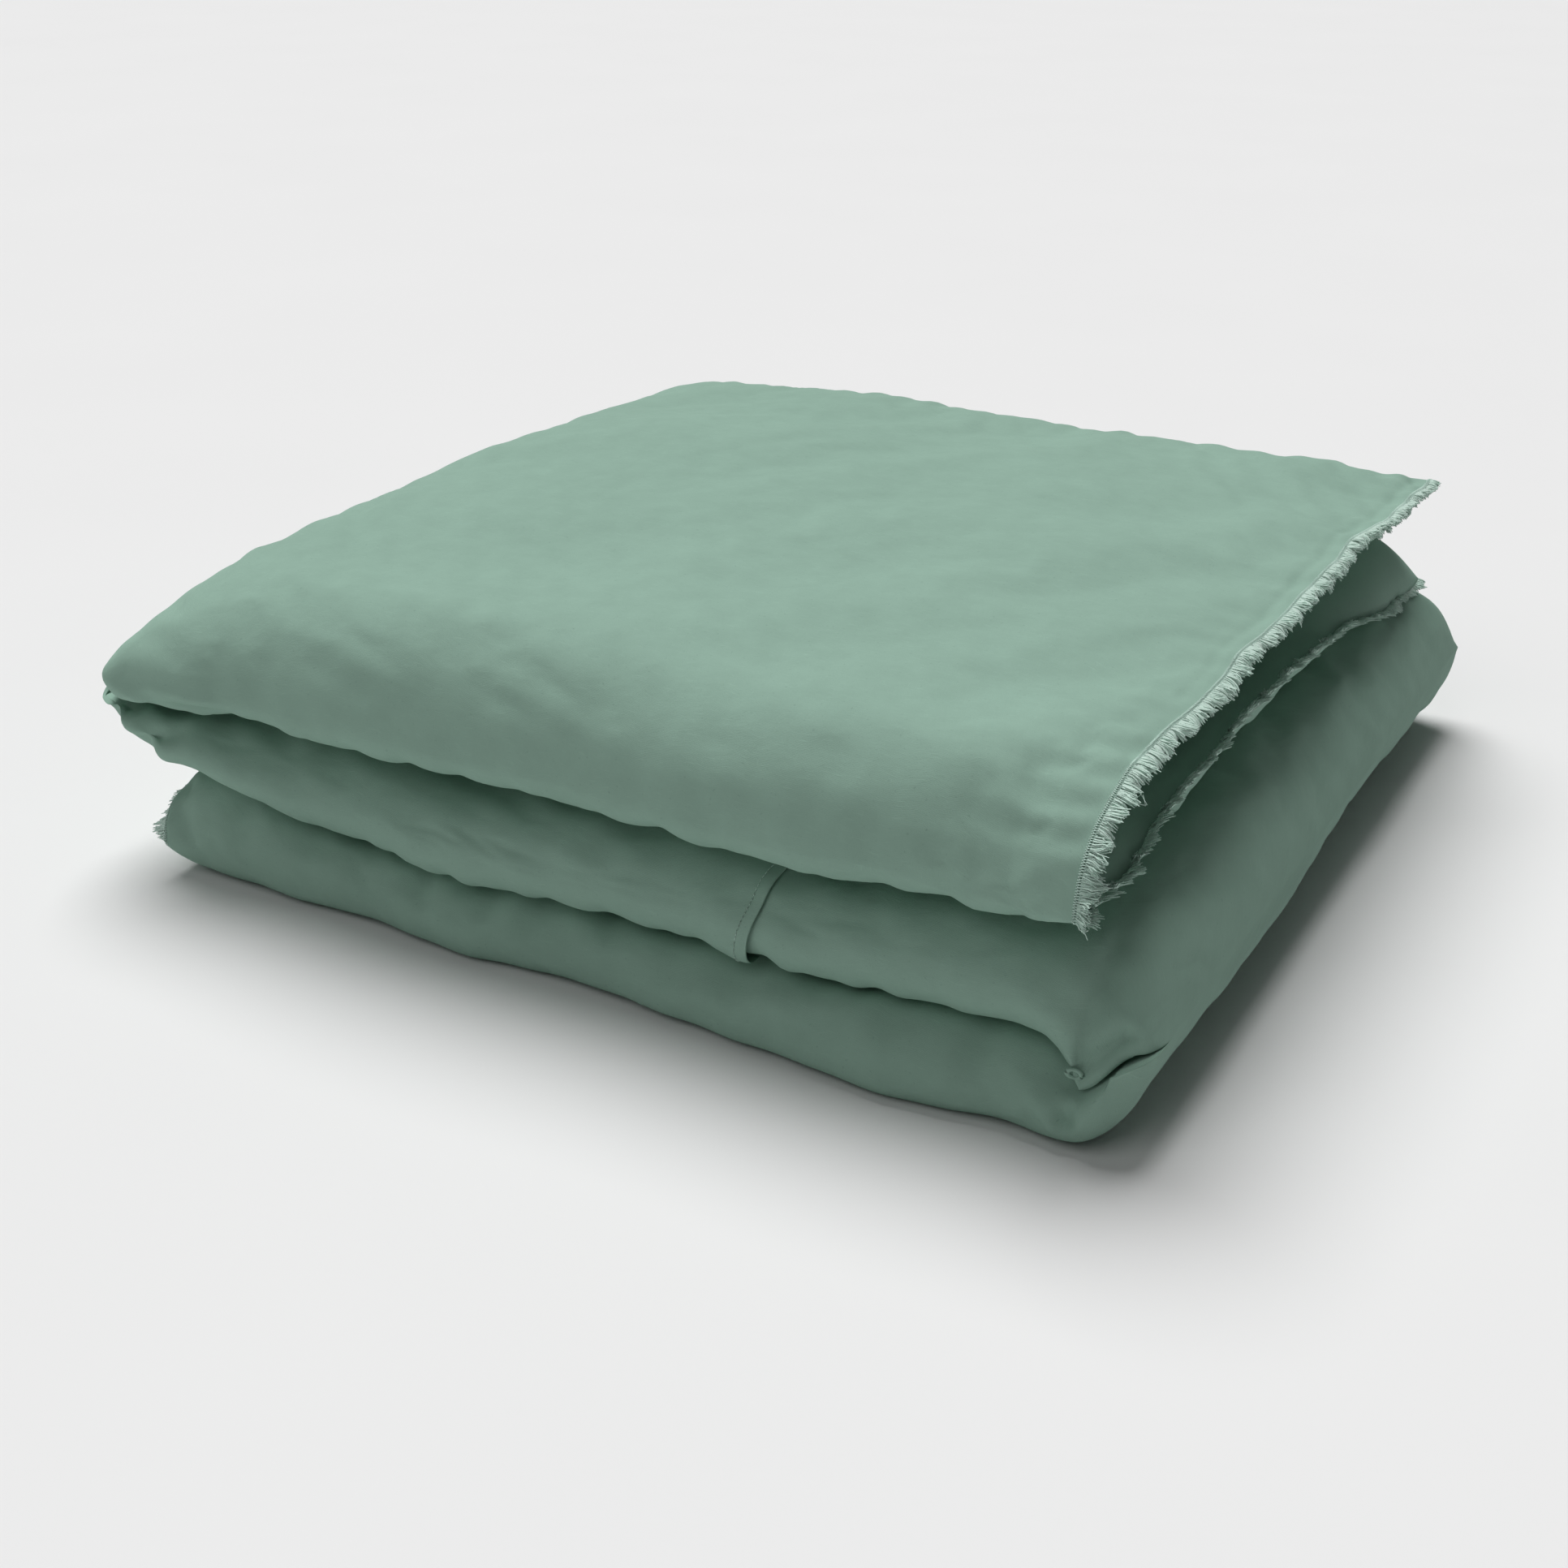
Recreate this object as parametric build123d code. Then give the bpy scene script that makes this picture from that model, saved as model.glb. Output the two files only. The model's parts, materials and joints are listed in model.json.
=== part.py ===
"""A covered duvet, folded in half and then Z-folded in three: bottom, middle and top third.

Millimetres. +X runs along the duvet's length, -Y is the front, where the half fold is, +Z is up.
The origin is the middle of the folded duvet's footprint, at the level it lies on.
Each third is two leaves of duvet, one above the other, joined round the front by the half fold.
"""
import os
from dataclasses import dataclass

from build123d import *

# folded package
LENGTH = 700.0  # from the left roll to the right roll
DEPTH = 650.0  # from the half fold at the front to the open edges at the back
BOTTOM_HEIGHT = 45.0
MIDDLE_HEIGHT = 65.0
TOP_HEIGHT = 90.0
THIRD_GAP = 1.0  # between one third and the next, so that they can be unfolded
BOTTOM_END_SETBACK = 52.0  # of the bottom third's free left end, from the left roll
TOP_END_SETBACK = 36.0  # of the top third's free right end, from the right roll

# cloth and filling
COVER_CLOTH = 0.7
INSERT_CLOTH = 0.4
LEAF_GAP = 0.6  # between the two leaves of a third
QUILT_GAP = 1.6  # between two pockets of filling
QUILT_THREAD = 0.8
PIPING = 5.0

# trims
FRINGE_LENGTH = 18.0
FRINGE_THICKNESS = 1.6
SEAM_BAND_WIDTH = 3.5
SEAM_BAND_THICKNESS = 0.6
HEM_X = 130.0  # where the flap of the opening ends, on the middle third
HEM_WIDTH = 16.0
HEM_THICKNESS = 0.7
UNDERLAP = 250.0  # how far the under panel goes on below the flap
STITCH_PITCH = 2.7
STITCH_LENGTH = 1.9
STITCH_WIDTH = 0.5
STITCH_RISE = 0.3

# what holds the insert in the cover's corners
RING_RADIUS = 4.5
RING_CORD = 1.4
RING_FROM_CORNER = 22.0
RING_ZONE = 40.0  # no piping this close to a corner
LABEL_WIDTH = 30.0
LABEL_THICKNESS = 0.4
CLEARANCE = 0.2

INSERT_ROOM = 3 * RING_RADIUS + RING_CORD + 3 * CLEARANCE
HEIGHT = BOTTOM_HEIGHT + MIDDLE_HEIGHT + TOP_HEIGHT
LEFT = -LENGTH / 2
RIGHT = LENGTH / 2
FRONT = -DEPTH / 2
BACK = DEPTH / 2
BEYOND = 2 * (LENGTH + DEPTH + HEIGHT)  # longer than anything here

MIDDLE_Z = BOTTOM_HEIGHT
TOP_Z = BOTTOM_HEIGHT + MIDDLE_HEIGHT
RIGHT_ROLL_RADIUS = TOP_Z / 2
RIGHT_ROLL_Z = TOP_Z / 2
LEFT_ROLL_RADIUS = (MIDDLE_HEIGHT + TOP_HEIGHT) / 2
LEFT_ROLL_Z = MIDDLE_Z + LEFT_ROLL_RADIUS


@dataclass
class Third:
    """One third of the duvet: its room, and which of its ends are rolled over into the next."""

    name: str
    low: float
    high: float
    left: float
    right: float
    left_rolled: bool
    right_rolled: bool
    front: float = FRONT

    @property
    def middle(self):
        return (self.low + self.high) / 2

    @property
    def half(self):
        return (self.high - self.low) / 2


BOTTOM = Third("bottom", 0, MIDDLE_Z - THIRD_GAP / 2, LEFT + BOTTOM_END_SETBACK, RIGHT, False, True)
MIDDLE = Third(
    "middle", MIDDLE_Z + THIRD_GAP / 2, TOP_Z - THIRD_GAP / 2, LEFT, RIGHT, True, True,
    FRONT + HEM_THICKNESS + STITCH_RISE,
)
TOP = Third("top", TOP_Z + THIRD_GAP / 2, HEIGHT, LEFT, RIGHT - TOP_END_SETBACK, True, False)
THIRDS = (BOTTOM, MIDDLE, TOP)


def block(x0, x1, y0, y1, z0, z1):
    """A box between two corners."""
    box = Box(x1 - x0, y1 - y0, z1 - z0)
    return Pos((x0 + x1) / 2, (y0 + y1) / 2, (z0 + z1) / 2) * box


def rod_along_x(radius, x0, x1, y, z):
    return Pos((x0 + x1) / 2, y, z) * Rot(0, 90, 0) * Cylinder(radius, x1 - x0)


def rod_along_y(radius, y0, y1, x, z):
    return Pos(x, (y0 + y1) / 2, z) * Rot(90, 0, 0) * Cylinder(radius, y1 - y0)


def form(third, inset, room=0.0):
    """The third's filled shape, with a round front and round rolled ends.

    inset is taken off all round, and room off its free end and its back as well.
    """
    x0 = third.left + inset + (0 if third.left_rolled else room)
    x1 = third.right - inset - (0 if third.right_rolled else room)
    z0 = third.low + inset
    z1 = third.high - inset
    fold_y = third.front + third.half
    solid = block(x0, x1, fold_y, BACK - inset - room, z0, z1)
    solid += rod_along_x(third.half - inset, x0, x1, fold_y, third.middle)
    if third.right_rolled:
        centre = RIGHT - RIGHT_ROLL_RADIUS
        keep = block(-BEYOND, centre, -BEYOND, BEYOND, -BEYOND, BEYOND)
        keep += rod_along_y(RIGHT_ROLL_RADIUS - inset, -BEYOND, BEYOND, centre, RIGHT_ROLL_Z)
        solid &= keep
    if third.left_rolled:
        centre = LEFT + LEFT_ROLL_RADIUS
        keep = block(centre, BEYOND, -BEYOND, BEYOND, -BEYOND, BEYOND)
        keep += rod_along_y(LEFT_ROLL_RADIUS - inset, -BEYOND, BEYOND, centre, LEFT_ROLL_Z)
        solid &= keep
    return solid


def slot(third, width):
    """The space between the two leaves, open at the back and at both ends, round at the fold."""
    fold_y = third.front + third.half
    space = block(-BEYOND, BEYOND, fold_y, BEYOND, third.middle - width / 2, third.middle + width / 2)
    return space + rod_along_x(width / 2, -BEYOND, BEYOND, fold_y, third.middle)


def u_band(third, outer, inner, x0, x1, back):
    """A strip that runs along the upper leaf, round the half fold and back along the lower leaf.

    outer and inner are its distances in from the third's outside.
    """
    fold_y = third.front + third.half

    def bar(inset):
        reach = third.half - inset
        body = block(x0, x1, fold_y, back, third.middle - reach, third.middle + reach)
        return body + rod_along_x(reach, x0, x1, fold_y, third.middle)

    return bar(outer) - bar(inner)


def cover_outer(third):
    return form(third, 0) - form(third, COVER_CLOTH) - slot(third, 2 * COVER_CLOTH + LEAF_GAP)


def cover_inner(third):
    cloth = slot(third, 2 * COVER_CLOTH + LEAF_GAP) - slot(third, LEAF_GAP)
    return cloth & form(third, 0)


def insert_inset(third):
    """How far the insert lies below the outside: the middle third also holds the under panel."""
    return 2 * COVER_CLOTH if third is MIDDLE else COVER_CLOTH


def insert_shell(third):
    inset = insert_inset(third)
    width = 2 * COVER_CLOTH + LEAF_GAP
    outside = form(third, inset, INSERT_ROOM) - slot(third, width)
    inside = form(third, inset + INSERT_CLOTH, INSERT_ROOM) - slot(third, width + 2 * INSERT_CLOTH)
    return outside - inside


def filling(third, upper):
    """The pockets of filling in one leaf, parted along the quilting."""
    inset = insert_inset(third) + INSERT_CLOTH
    width = 2 * (COVER_CLOTH + INSERT_CLOTH) + LEAF_GAP
    pad = form(third, inset, INSERT_ROOM) - slot(third, width)
    half_gap = QUILT_GAP / 2
    seam_x = (third.left + third.right) / 2
    seam_y = (third.front + BACK) / 2
    pad -= block(seam_x - half_gap, seam_x + half_gap, -BEYOND, BEYOND, -BEYOND, BEYOND)
    pad -= block(-BEYOND, BEYOND, seam_y - half_gap, seam_y + half_gap, -BEYOND, BEYOND)
    if upper:
        return pad & block(-BEYOND, BEYOND, -BEYOND, BEYOND, third.middle + half_gap, BEYOND)
    return pad & block(-BEYOND, BEYOND, -BEYOND, BEYOND, -BEYOND, third.middle - half_gap)


def quilting(third):
    """Threads in the seams between the pockets, one way and the other in each leaf, and at the fold."""
    radius = QUILT_THREAD / 2
    end = 2 * (insert_inset(third) + INSERT_CLOTH + LEFT_ROLL_RADIUS)
    x0 = third.left + end
    x1 = third.right - end
    seam_x = (third.left + third.right) / 2
    seam_y = (third.front + BACK) / 2
    fold_y = third.front + third.half
    back = BACK - insert_inset(third) - INSERT_ROOM - 2 * INSERT_CLOTH
    spread = third.half / 2
    threads = []
    for side in (-1, 1):
        z = third.middle + side * spread
        threads.append(rod_along_x(radius, x0, x1, seam_y, z))
        threads.append(rod_along_y(radius, fold_y, back, seam_x, z + 3 * radius))
    threads.append(rod_along_x(radius, x0, x1, third.front + third.half / 2, third.middle))
    return threads


def piping(third):
    """The insert's corded edge: along the back of both leaves, and round a free end."""
    radius = PIPING / 2
    inset = insert_inset(third)
    spread = third.half / 2
    off = radius + CLEARANCE / 2
    x0 = third.left + (LEFT_ROLL_RADIUS if third.left_rolled else INSERT_ROOM + COVER_CLOTH)
    x1 = third.right - (LEFT_ROLL_RADIUS if third.right_rolled else INSERT_ROOM + COVER_CLOTH)
    back = BACK - inset - INSERT_ROOM
    cords = [
        rod_along_x(radius, x0, x1, back + off, third.middle + side * spread) for side in (-1, 1)
    ]
    if third.left_rolled and third.right_rolled:
        return cords
    if third.left_rolled:
        x = third.right - inset - INSERT_ROOM + off
    else:
        x = third.left + inset + INSERT_ROOM - off
    fold_y = third.front + third.half
    end = back - RING_ZONE
    turn = Pos(x, fold_y, third.middle) * Rot(0, 90, 0) * Torus(spread, radius)
    turn &= block(-BEYOND, BEYOND, -BEYOND, fold_y, -BEYOND, BEYOND)
    for side in (-1, 1):
        turn += rod_along_y(radius, fold_y, end, x, third.middle + side * spread)
    return cords + [turn]


def free_end(third):
    """(x of the free end, +1 if it faces right or -1 if it faces left)."""
    if third.left_rolled:
        return third.right, 1
    return third.left, -1


def corner_rings(third, of_cover):
    """The linked rings that tie the insert's corner to the cover's, one pair in each leaf."""
    x_end, way = free_end(third)
    first = insert_inset(third) + INSERT_ROOM - RING_RADIUS - RING_CORD / 2 - CLEARANCE
    y = BACK - COVER_CLOTH - INSERT_ROOM - RING_FROM_CORNER
    rings = []
    for side in (-1, 1):
        z = third.middle + side * third.half / 2
        ring = Torus(RING_RADIUS, RING_CORD / 2)
        if of_cover:
            rings.append(Pos(x_end - way * (first - RING_RADIUS), y, z) * ring)
        else:
            rings.append(Pos(x_end - way * first, y, z) * Rot(90, 0, 0) * ring)
    return rings


def end_strip(third, width, outer, inner):
    """A strip on the free end, outside it, that goes round the half fold."""
    x_end, way = free_end(third)
    x0, x1 = sorted((x_end, x_end + way * width))
    return u_band(third, outer, inner, x0, x1, BACK)


def fringe(third):
    centre = third.half / 2
    return end_strip(third, FRINGE_LENGTH, centre - FRINGE_THICKNESS / 2, centre + FRINGE_THICKNESS / 2)


def fringe_seam(third):
    outside = third.half / 2 - FRINGE_THICKNESS / 2
    return end_strip(third, SEAM_BAND_WIDTH, outside - SEAM_BAND_THICKNESS, outside)


def flap_hem():
    """The doubled edge of the opening's flap, where it shows on the front of the middle third."""
    x0 = HEM_X - HEM_WIDTH
    fold_y = MIDDLE.front + MIDDLE.half
    bar = rod_along_x(MIDDLE.half + HEM_THICKNESS, x0, HEM_X, fold_y, MIDDLE.middle)
    bar -= rod_along_x(MIDDLE.half, x0, HEM_X, fold_y, MIDDLE.middle)
    reach = MIDDLE.half - HEM_THICKNESS
    window = block(x0, HEM_X, -BEYOND, fold_y, MIDDLE.middle - reach, MIDDLE.middle + reach)
    return bar & window


def hem_stitches():
    """A row of stitches round the front of the hem."""
    radius = MIDDLE.half + HEM_THICKNESS
    fold_y = MIDDLE.front + MIDDLE.half
    step = STITCH_PITCH / radius * 180 / 3.14159265
    count = int(65 / step)
    stitches = []
    for i in range(-count, count + 1):
        stitch = Box(STITCH_WIDTH, STITCH_RISE, STITCH_LENGTH)
        place = Pos(HEM_X - 0.8 * HEM_WIDTH, fold_y, MIDDLE.middle) * Rot(i * step, 0, 0)
        stitches.append(place * Pos(0, -radius - STITCH_RISE / 2, 0) * stitch)
    return stitches


def underlap():
    """The under panel of the opening, on the inside of the cover below the flap."""
    band = form(MIDDLE, COVER_CLOTH) - form(MIDDLE, 2 * COVER_CLOTH)
    zone = block(HEM_X - UNDERLAP, HEM_X, -BEYOND, BACK - INSERT_ROOM, -BEYOND, BEYOND)
    return (band & zone) - slot(MIDDLE, 2 * COVER_CLOTH + LEAF_GAP)


def care_label():
    """A blank label sewn into the end seam of the bottom third's upper leaf."""
    x_end, way = free_end(BOTTOM)
    x0 = x_end - way * COVER_CLOTH
    x1 = x_end - way * (COVER_CLOTH + INSERT_ROOM - PIPING - 2 * CLEARANCE)
    x0, x1 = sorted((x0, x1))
    z = BOTTOM.middle + BOTTOM.half / 2
    return block(x0, x1, -LABEL_WIDTH / 2, LABEL_WIDTH / 2, z, z + LABEL_THICKNESS)


def save(shape, name):
    solids = shape if isinstance(shape, list) else list(shape.solids())
    export_step(Compound(children=solids) if len(solids) > 1 else solids[0], f"parts/{name}.step")


os.makedirs("parts", exist_ok=True)
for third in THIRDS:
    save(cover_outer(third), f"{third.name}_cover_outer")
    save(cover_inner(third), f"{third.name}_cover_inner")
    save(insert_shell(third), f"{third.name}_insert_shell")
    save(filling(third, True), f"{third.name}_filling_upper")
    save(filling(third, False), f"{third.name}_filling_lower")
    save(quilting(third), f"{third.name}_quilting")
    save(piping(third), f"{third.name}_insert_piping")
for third in (BOTTOM, TOP):
    save(fringe(third), f"{third.name}_fringe")
    save(fringe_seam(third), f"{third.name}_fringe_seam")
    save(corner_rings(third, False), f"{third.name}_insert_loops")
    save(corner_rings(third, True), f"{third.name}_corner_ties")
save(flap_hem(), "opening_flap_hem")
save(hem_stitches(), "opening_hem_stitches")
save(underlap(), "opening_underlap")
save(care_label(), "care_label")
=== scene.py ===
"""Folded duvet: the looks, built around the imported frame. All lengths are in metres."""
import json
import math

import bpy
import numpy as np
from bpy.props import FloatProperty, FloatVectorProperty, PointerProperty
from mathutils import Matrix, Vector


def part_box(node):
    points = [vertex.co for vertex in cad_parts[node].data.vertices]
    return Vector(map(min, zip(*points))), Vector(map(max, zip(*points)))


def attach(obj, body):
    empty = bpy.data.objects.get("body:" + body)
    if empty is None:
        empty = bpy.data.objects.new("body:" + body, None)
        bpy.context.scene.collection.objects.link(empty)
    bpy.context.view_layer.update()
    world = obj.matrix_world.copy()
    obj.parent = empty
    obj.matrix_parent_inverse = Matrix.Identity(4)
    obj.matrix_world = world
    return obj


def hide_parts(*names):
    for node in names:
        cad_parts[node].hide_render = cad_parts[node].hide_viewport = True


bl_info = {
    "name": "Folded duvet",
    "version": (1, 0, 0),
    "blender": (4, 5, 0),
    "location": "3D View > Sidebar > Duvet",
    "description": "Builds a duvet in a fringed linen cover, folded in three",
    "category": "Add Mesh",
}

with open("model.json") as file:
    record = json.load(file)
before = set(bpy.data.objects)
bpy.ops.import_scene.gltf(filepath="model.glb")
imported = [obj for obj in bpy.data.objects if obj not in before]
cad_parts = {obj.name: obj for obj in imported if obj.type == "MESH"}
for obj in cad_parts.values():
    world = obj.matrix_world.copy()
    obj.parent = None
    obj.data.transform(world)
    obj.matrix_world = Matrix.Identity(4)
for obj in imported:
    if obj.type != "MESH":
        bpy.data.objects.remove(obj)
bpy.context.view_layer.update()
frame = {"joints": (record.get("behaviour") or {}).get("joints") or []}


def node_box(node):
    """The low and the high corner of a CAD node."""
    return [np.array(corner, float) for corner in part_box(node)]


def hinge(name):
    """(x, z) of a fold's hinge line."""
    joint = next(j for j in frame["joints"] if j["name"] == name)
    return joint["pos_m"][0], joint["pos_m"][2]


# The folded package, read from the frame
BOTTOM_LOW, BOTTOM_HIGH = node_box("bottom_cover_outer")
MIDDLE_LOW, MIDDLE_HIGH = node_box("middle_cover_outer")
TOP_LOW, TOP_HIGH = node_box("top_cover_outer")
HEM_LOW, HEM_HIGH = node_box("opening_flap_hem")
UNDERLAP_LOW = node_box("opening_underlap")[0]
RIGHT_X, RIGHT_Z = hinge("right_fold")
LEFT_X = hinge("left_fold")[0]
LOWER_Z = (BOTTOM_HIGH[2] + MIDDLE_LOW[2]) / 2  # where the bottom and middle thirds meet
UPPER_Z = (MIDDLE_HIGH[2] + TOP_LOW[2]) / 2  # where the middle and top thirds meet
PACK_TOP = TOP_HIGH[2]
INSERT_ROOM = 0.0200  # between the cover's edge and the insert's
INSERT_TURN = 0.016  # from the middle of a roll to the insert's edge in its inner leaf
INSERT_DEEP = 0.0090  # between the cover's faces and the insert's
FILLING_DEEP = INSERT_DEEP + 0.0012
QUILTING_DEEP = INSERT_DEEP - 0.0004
FRONT_Y = TOP_LOW[1]
BACK_Y = TOP_HIGH[1]
DEPTH = BACK_Y - FRONT_Y
BODY = {"bottom": "third_bottom", "middle": "third_middle", "top": "third_top"}
THIRDS = ("bottom", "middle", "top")

# How the cloth lies
SKIN_GAP = 0.0004  # between a third and the next
RIGHT_ROLL = 0.058  # how far in from the hinge the right roll begins to round over
LEFT_ROLL = {"middle": 0.072, "top": 0.088}
CORNER_ROUND = 0.034  # of the front corners at the rolls, seen from above
SEAM_SHARE = 0.25  # a leaf's seam lies halfway up the leaf
HALF = 0.5
LEAF_GAP = 0.004  # from the middle of a third to each leaf's inside, as a share of its height
BACK_INSET = 0.002  # from the frame's back to the seams at the back
FULL_TURN = 2 * math.pi


def smooth(t):
    """0 up to 0, 1 from 1 on, and an even rise between."""
    t = np.clip(t, 0.0, 1.0)
    return t * t * (3 - 2 * t)


def quarter(s):
    """A quarter circle: 0 at an edge, rising steeply to 1."""
    s = np.clip(s, 0.0, 1.0)
    return np.sqrt(np.maximum(1 - (1 - s) ** 2, 0.0))


def ripple(u, seed, shortest, longest, count=7):
    """A smooth, irregular wave of height about 1 along u."""
    rng = np.random.default_rng(seed)
    total = np.zeros_like(u)
    for _ in range(count):
        length = shortest * (longest / shortest) ** rng.random()
        total += np.sin(FULL_TURN * (u / length + rng.random())) * (0.5 + rng.random())
    return total / math.sqrt(count)


def drift(x, y, seed, shortest, longest, count=9):
    """A smooth, irregular field over a plane."""
    rng = np.random.default_rng(seed)
    total = np.zeros(np.broadcast(x, y).shape)
    for _ in range(count):
        length = shortest * (longest / shortest) ** rng.random()
        angle = rng.random() * FULL_TURN
        along = (x * math.cos(angle) + y * math.sin(angle)) / length
        total += np.sin(FULL_TURN * (along + rng.random()))
    return total / math.sqrt(count)


# ---------------------------------------------------------------- the duvet's shape


def skin_gap(x):
    """Half the gap between two thirds: none at the rolls, where they are joined."""
    return SKIN_GAP * smooth((RIGHT_X - x) / 0.030) * smooth((x - LEFT_X) / 0.030)


def lower_meeting(x, y):
    """Height where the bottom and middle thirds meet.

    It climbs to the hinge in the right roll and over the thick left end, and droops at the front
    corner of the right roll.
    """
    right = (RIGHT_Z - LOWER_Z) * smooth((x - RIGHT_X + 0.11) / 0.075)
    left = 0.026 * smooth((-0.17 - x) / 0.13) * (1 - 0.5 * smooth((y + 0.2) / 0.4))
    near = np.exp(-(((x - 0.316) / 0.020) ** 2) - ((y - FRONT_Y) / 0.032) ** 2)
    return LOWER_Z + right + left - 0.020 * near * smooth((RIGHT_X - x) / 0.034)


def roll(inward, width, share):
    """How much of its height a layer keeps as it rounds over in a roll.

    inward is the distance in from the hinge line. share is how far out in the roll the layer is.
    """
    share = np.maximum(share, 1e-3)
    inside = np.clip((width - inward) / (width * share), 0.0, 1.0)
    return np.sqrt(1 - inside**2)


def crown(x, y):
    """Thickness of the top third: fullest in the middle, lower towards the back corners."""
    full = PACK_TOP - UPPER_Z
    sag_back = 0.012 * smooth((y - 0.05) / 0.28)
    sag_ends = 0.010 * smooth((abs(x - 0.02) - 0.12) / 0.24)
    sag_front = 0.003 * smooth((-y - 0.05) / 0.2)
    sag_corner = 0.016 * smooth((-0.20 - x) / 0.13) * smooth((-0.20 - y) / 0.11)
    return full - sag_back - sag_ends - (sag_front + sag_corner)


def level(third, h, x, y):
    """Height of the layer that lies h of the way up a third."""
    if third == "bottom":
        meeting = lower_meeting(x, y) - skin_gap(x)
        return meeting * (1 - (1 - h) * roll(RIGHT_X - x, RIGHT_ROLL, 1 - h))
    if third == "middle":
        low = lower_meeting(x, y) + skin_gap(x)
        thick = UPPER_Z - skin_gap(x) - low
        right = low + thick * h * roll(RIGHT_X - x, RIGHT_ROLL, h)
        left = low + thick * (1 - (1 - h) * roll(x - LEFT_X, LEFT_ROLL["middle"], 1 - h))
        return np.where(x > 0, right, left)
    low = UPPER_Z + skin_gap(x)
    return low + crown(x, y) * h * roll(x - LEFT_X, LEFT_ROLL["top"], h)


# How high up a third its half fold is frontmost, and how far this line is from the frame's front
FOLD_SHARE = {"bottom": 0.30, "middle": 0.38, "top": 0.26}
FOLD_SHIFT = {"bottom": 0.003, "middle": 0.004, "top": -0.001}
FOLD_SEED = {"bottom": 3, "middle": 5, "top": 8}
# Depth of the rounded front, in the upper and in the lower leaf
FRONT_ROUND = {
    "bottom": (0.036, 0.016),
    "middle": (0.078, 0.028),
    "top": (0.066, 0.032),
}
BACK_ROUND = {"bottom": 0.022, "middle": 0.030, "top": 0.042}
END_ROUND = {"bottom": (0.050, 0.045), "top": (0.085, 0.060)}
END_SHIFT = 0.003  # how far a free end's seam lies beyond the frame's
# How far the inside cloth's fold is set back
INNER_FOLD = {"bottom": 0.012, "middle": 0.018, "top": 0.024}


def roll_sides(third, x):
    """For each roll that a third ends in: the distance in from its hinge line, and its width."""
    sides = []
    if third != "top":
        sides.append((RIGHT_X - x, RIGHT_ROLL))
    if third != "bottom":
        sides.append((x - LEFT_X, LEFT_ROLL[third]))
    return sides


def front_line(third, x, outer=True):
    """Y of the half fold's frontmost line, in the outside or the inside cloth."""
    y = FRONT_Y + FOLD_SHIFT[third] + 0.0016 * ripple(x, FOLD_SEED[third], 0.12, 0.5, 4)
    if third == "bottom":
        y = y - 0.009 * smooth((x + 0.05) / 0.25)
    for inward, _ in roll_sides(third, x):
        y = y + CORNER_ROUND * (1 - quarter(inward / CORNER_ROUND))
    if not outer:
        inward = TOP_HIGH[0] - x if third == "top" else x - BOTTOM_LOW[0]
        y = y + INNER_FOLD[third] * (smooth(inward / 0.06) if third != "middle" else 1.0)
    return y


def end_line(third, y):
    """X of a third's free end, where its seam runs."""
    if third == "top":
        x = TOP_HIGH[0] + END_SHIFT + 0.0015 * ripple(y, 21, 0.1, 0.4, 4)
        return x - 0.004 * smooth(-y / 0.33)
    return BOTTOM_LOW[0] - END_SHIFT + 0.0015 * ripple(y, 22, 0.1, 0.4, 4)


def end_height(third, upper, y):
    """Height of the free end's seam."""
    if third == "top" and upper:
        sag_back = 0.0145 * smooth((y - 0.08) / 0.26)
        sag_front = 0.004 * smooth((-y - 0.05) / 0.2)
        z = PACK_TOP - 0.0095 - sag_back - sag_front
        return z + 0.0008 * ripple(y, 31, 0.05, 0.2, 5)
    if third == "top":
        sag_back = 0.050 * smooth((y + 0.05) / 0.40)
        sag_front = 0.020 * smooth((-0.15 - y) / 0.13)
        z = UPPER_Z + 0.041 - sag_back - sag_front
        return z + 0.0012 * ripple(y, 33, 0.05, 0.2, 5)
    front = smooth((-0.20 - y) / 0.10)
    share = 0.86 + 0.24 * front if upper else 0.30 + 0.10 * front
    return BOTTOM_HIGH[2] * share + 0.0010 * ripple(y, 35 + upper, 0.05, 0.2, 5)


def layer(third, upper, outer, x, y):
    """Height of one face of one leaf. outer is the cover's outside, not the side in the half fold."""
    z_seam = level(third, 1 - SEAM_SHARE if upper else SEAM_SHARE, x, y)
    if outer:
        face = 1.0 if upper else 0.0
    else:
        face = HALF + LEAF_GAP if upper else HALF - LEAF_GAP
    z = level(third, face, x, y)
    if third != "middle":
        wide = END_ROUND[third][0 if upper else 1]
        inward = end_line(third, y) - x if third == "top" else x - end_line(third, y)
        close = 1 - quarter(inward / wide) ** 1.15
        z = z + (end_height(third, upper, y) - z) * close
    close = 1 - quarter((BACK_Y - BACK_INSET - y) / BACK_ROUND[third]) ** 1.1
    z_back = z_seam + (level(third, HALF, x, y) - z_seam) * drawn_shut(third, x)
    if third != "middle":
        near_end = 1 - smooth(inward / 0.12)
        z_back = z_back + (end_height(third, upper, y) - z_back) * near_end
    z = z + (z_back - z) * close
    wide = FRONT_ROUND[third][0 if upper else 1]
    close = 1 - quarter((y - front_line(third, x, outer)) / wide)
    return z + (fold_height(third, x, y) - z) * close


def drawn_shut(third, x):
    """How far the seams of both leaves draw together at the back: fully in the rolls."""
    share = np.zeros_like(x)
    for inward, width in roll_sides(third, x):
        share = np.maximum(share, 1 - smooth((inward - HALF * width) / (0.4 * width)))
    return share


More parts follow.
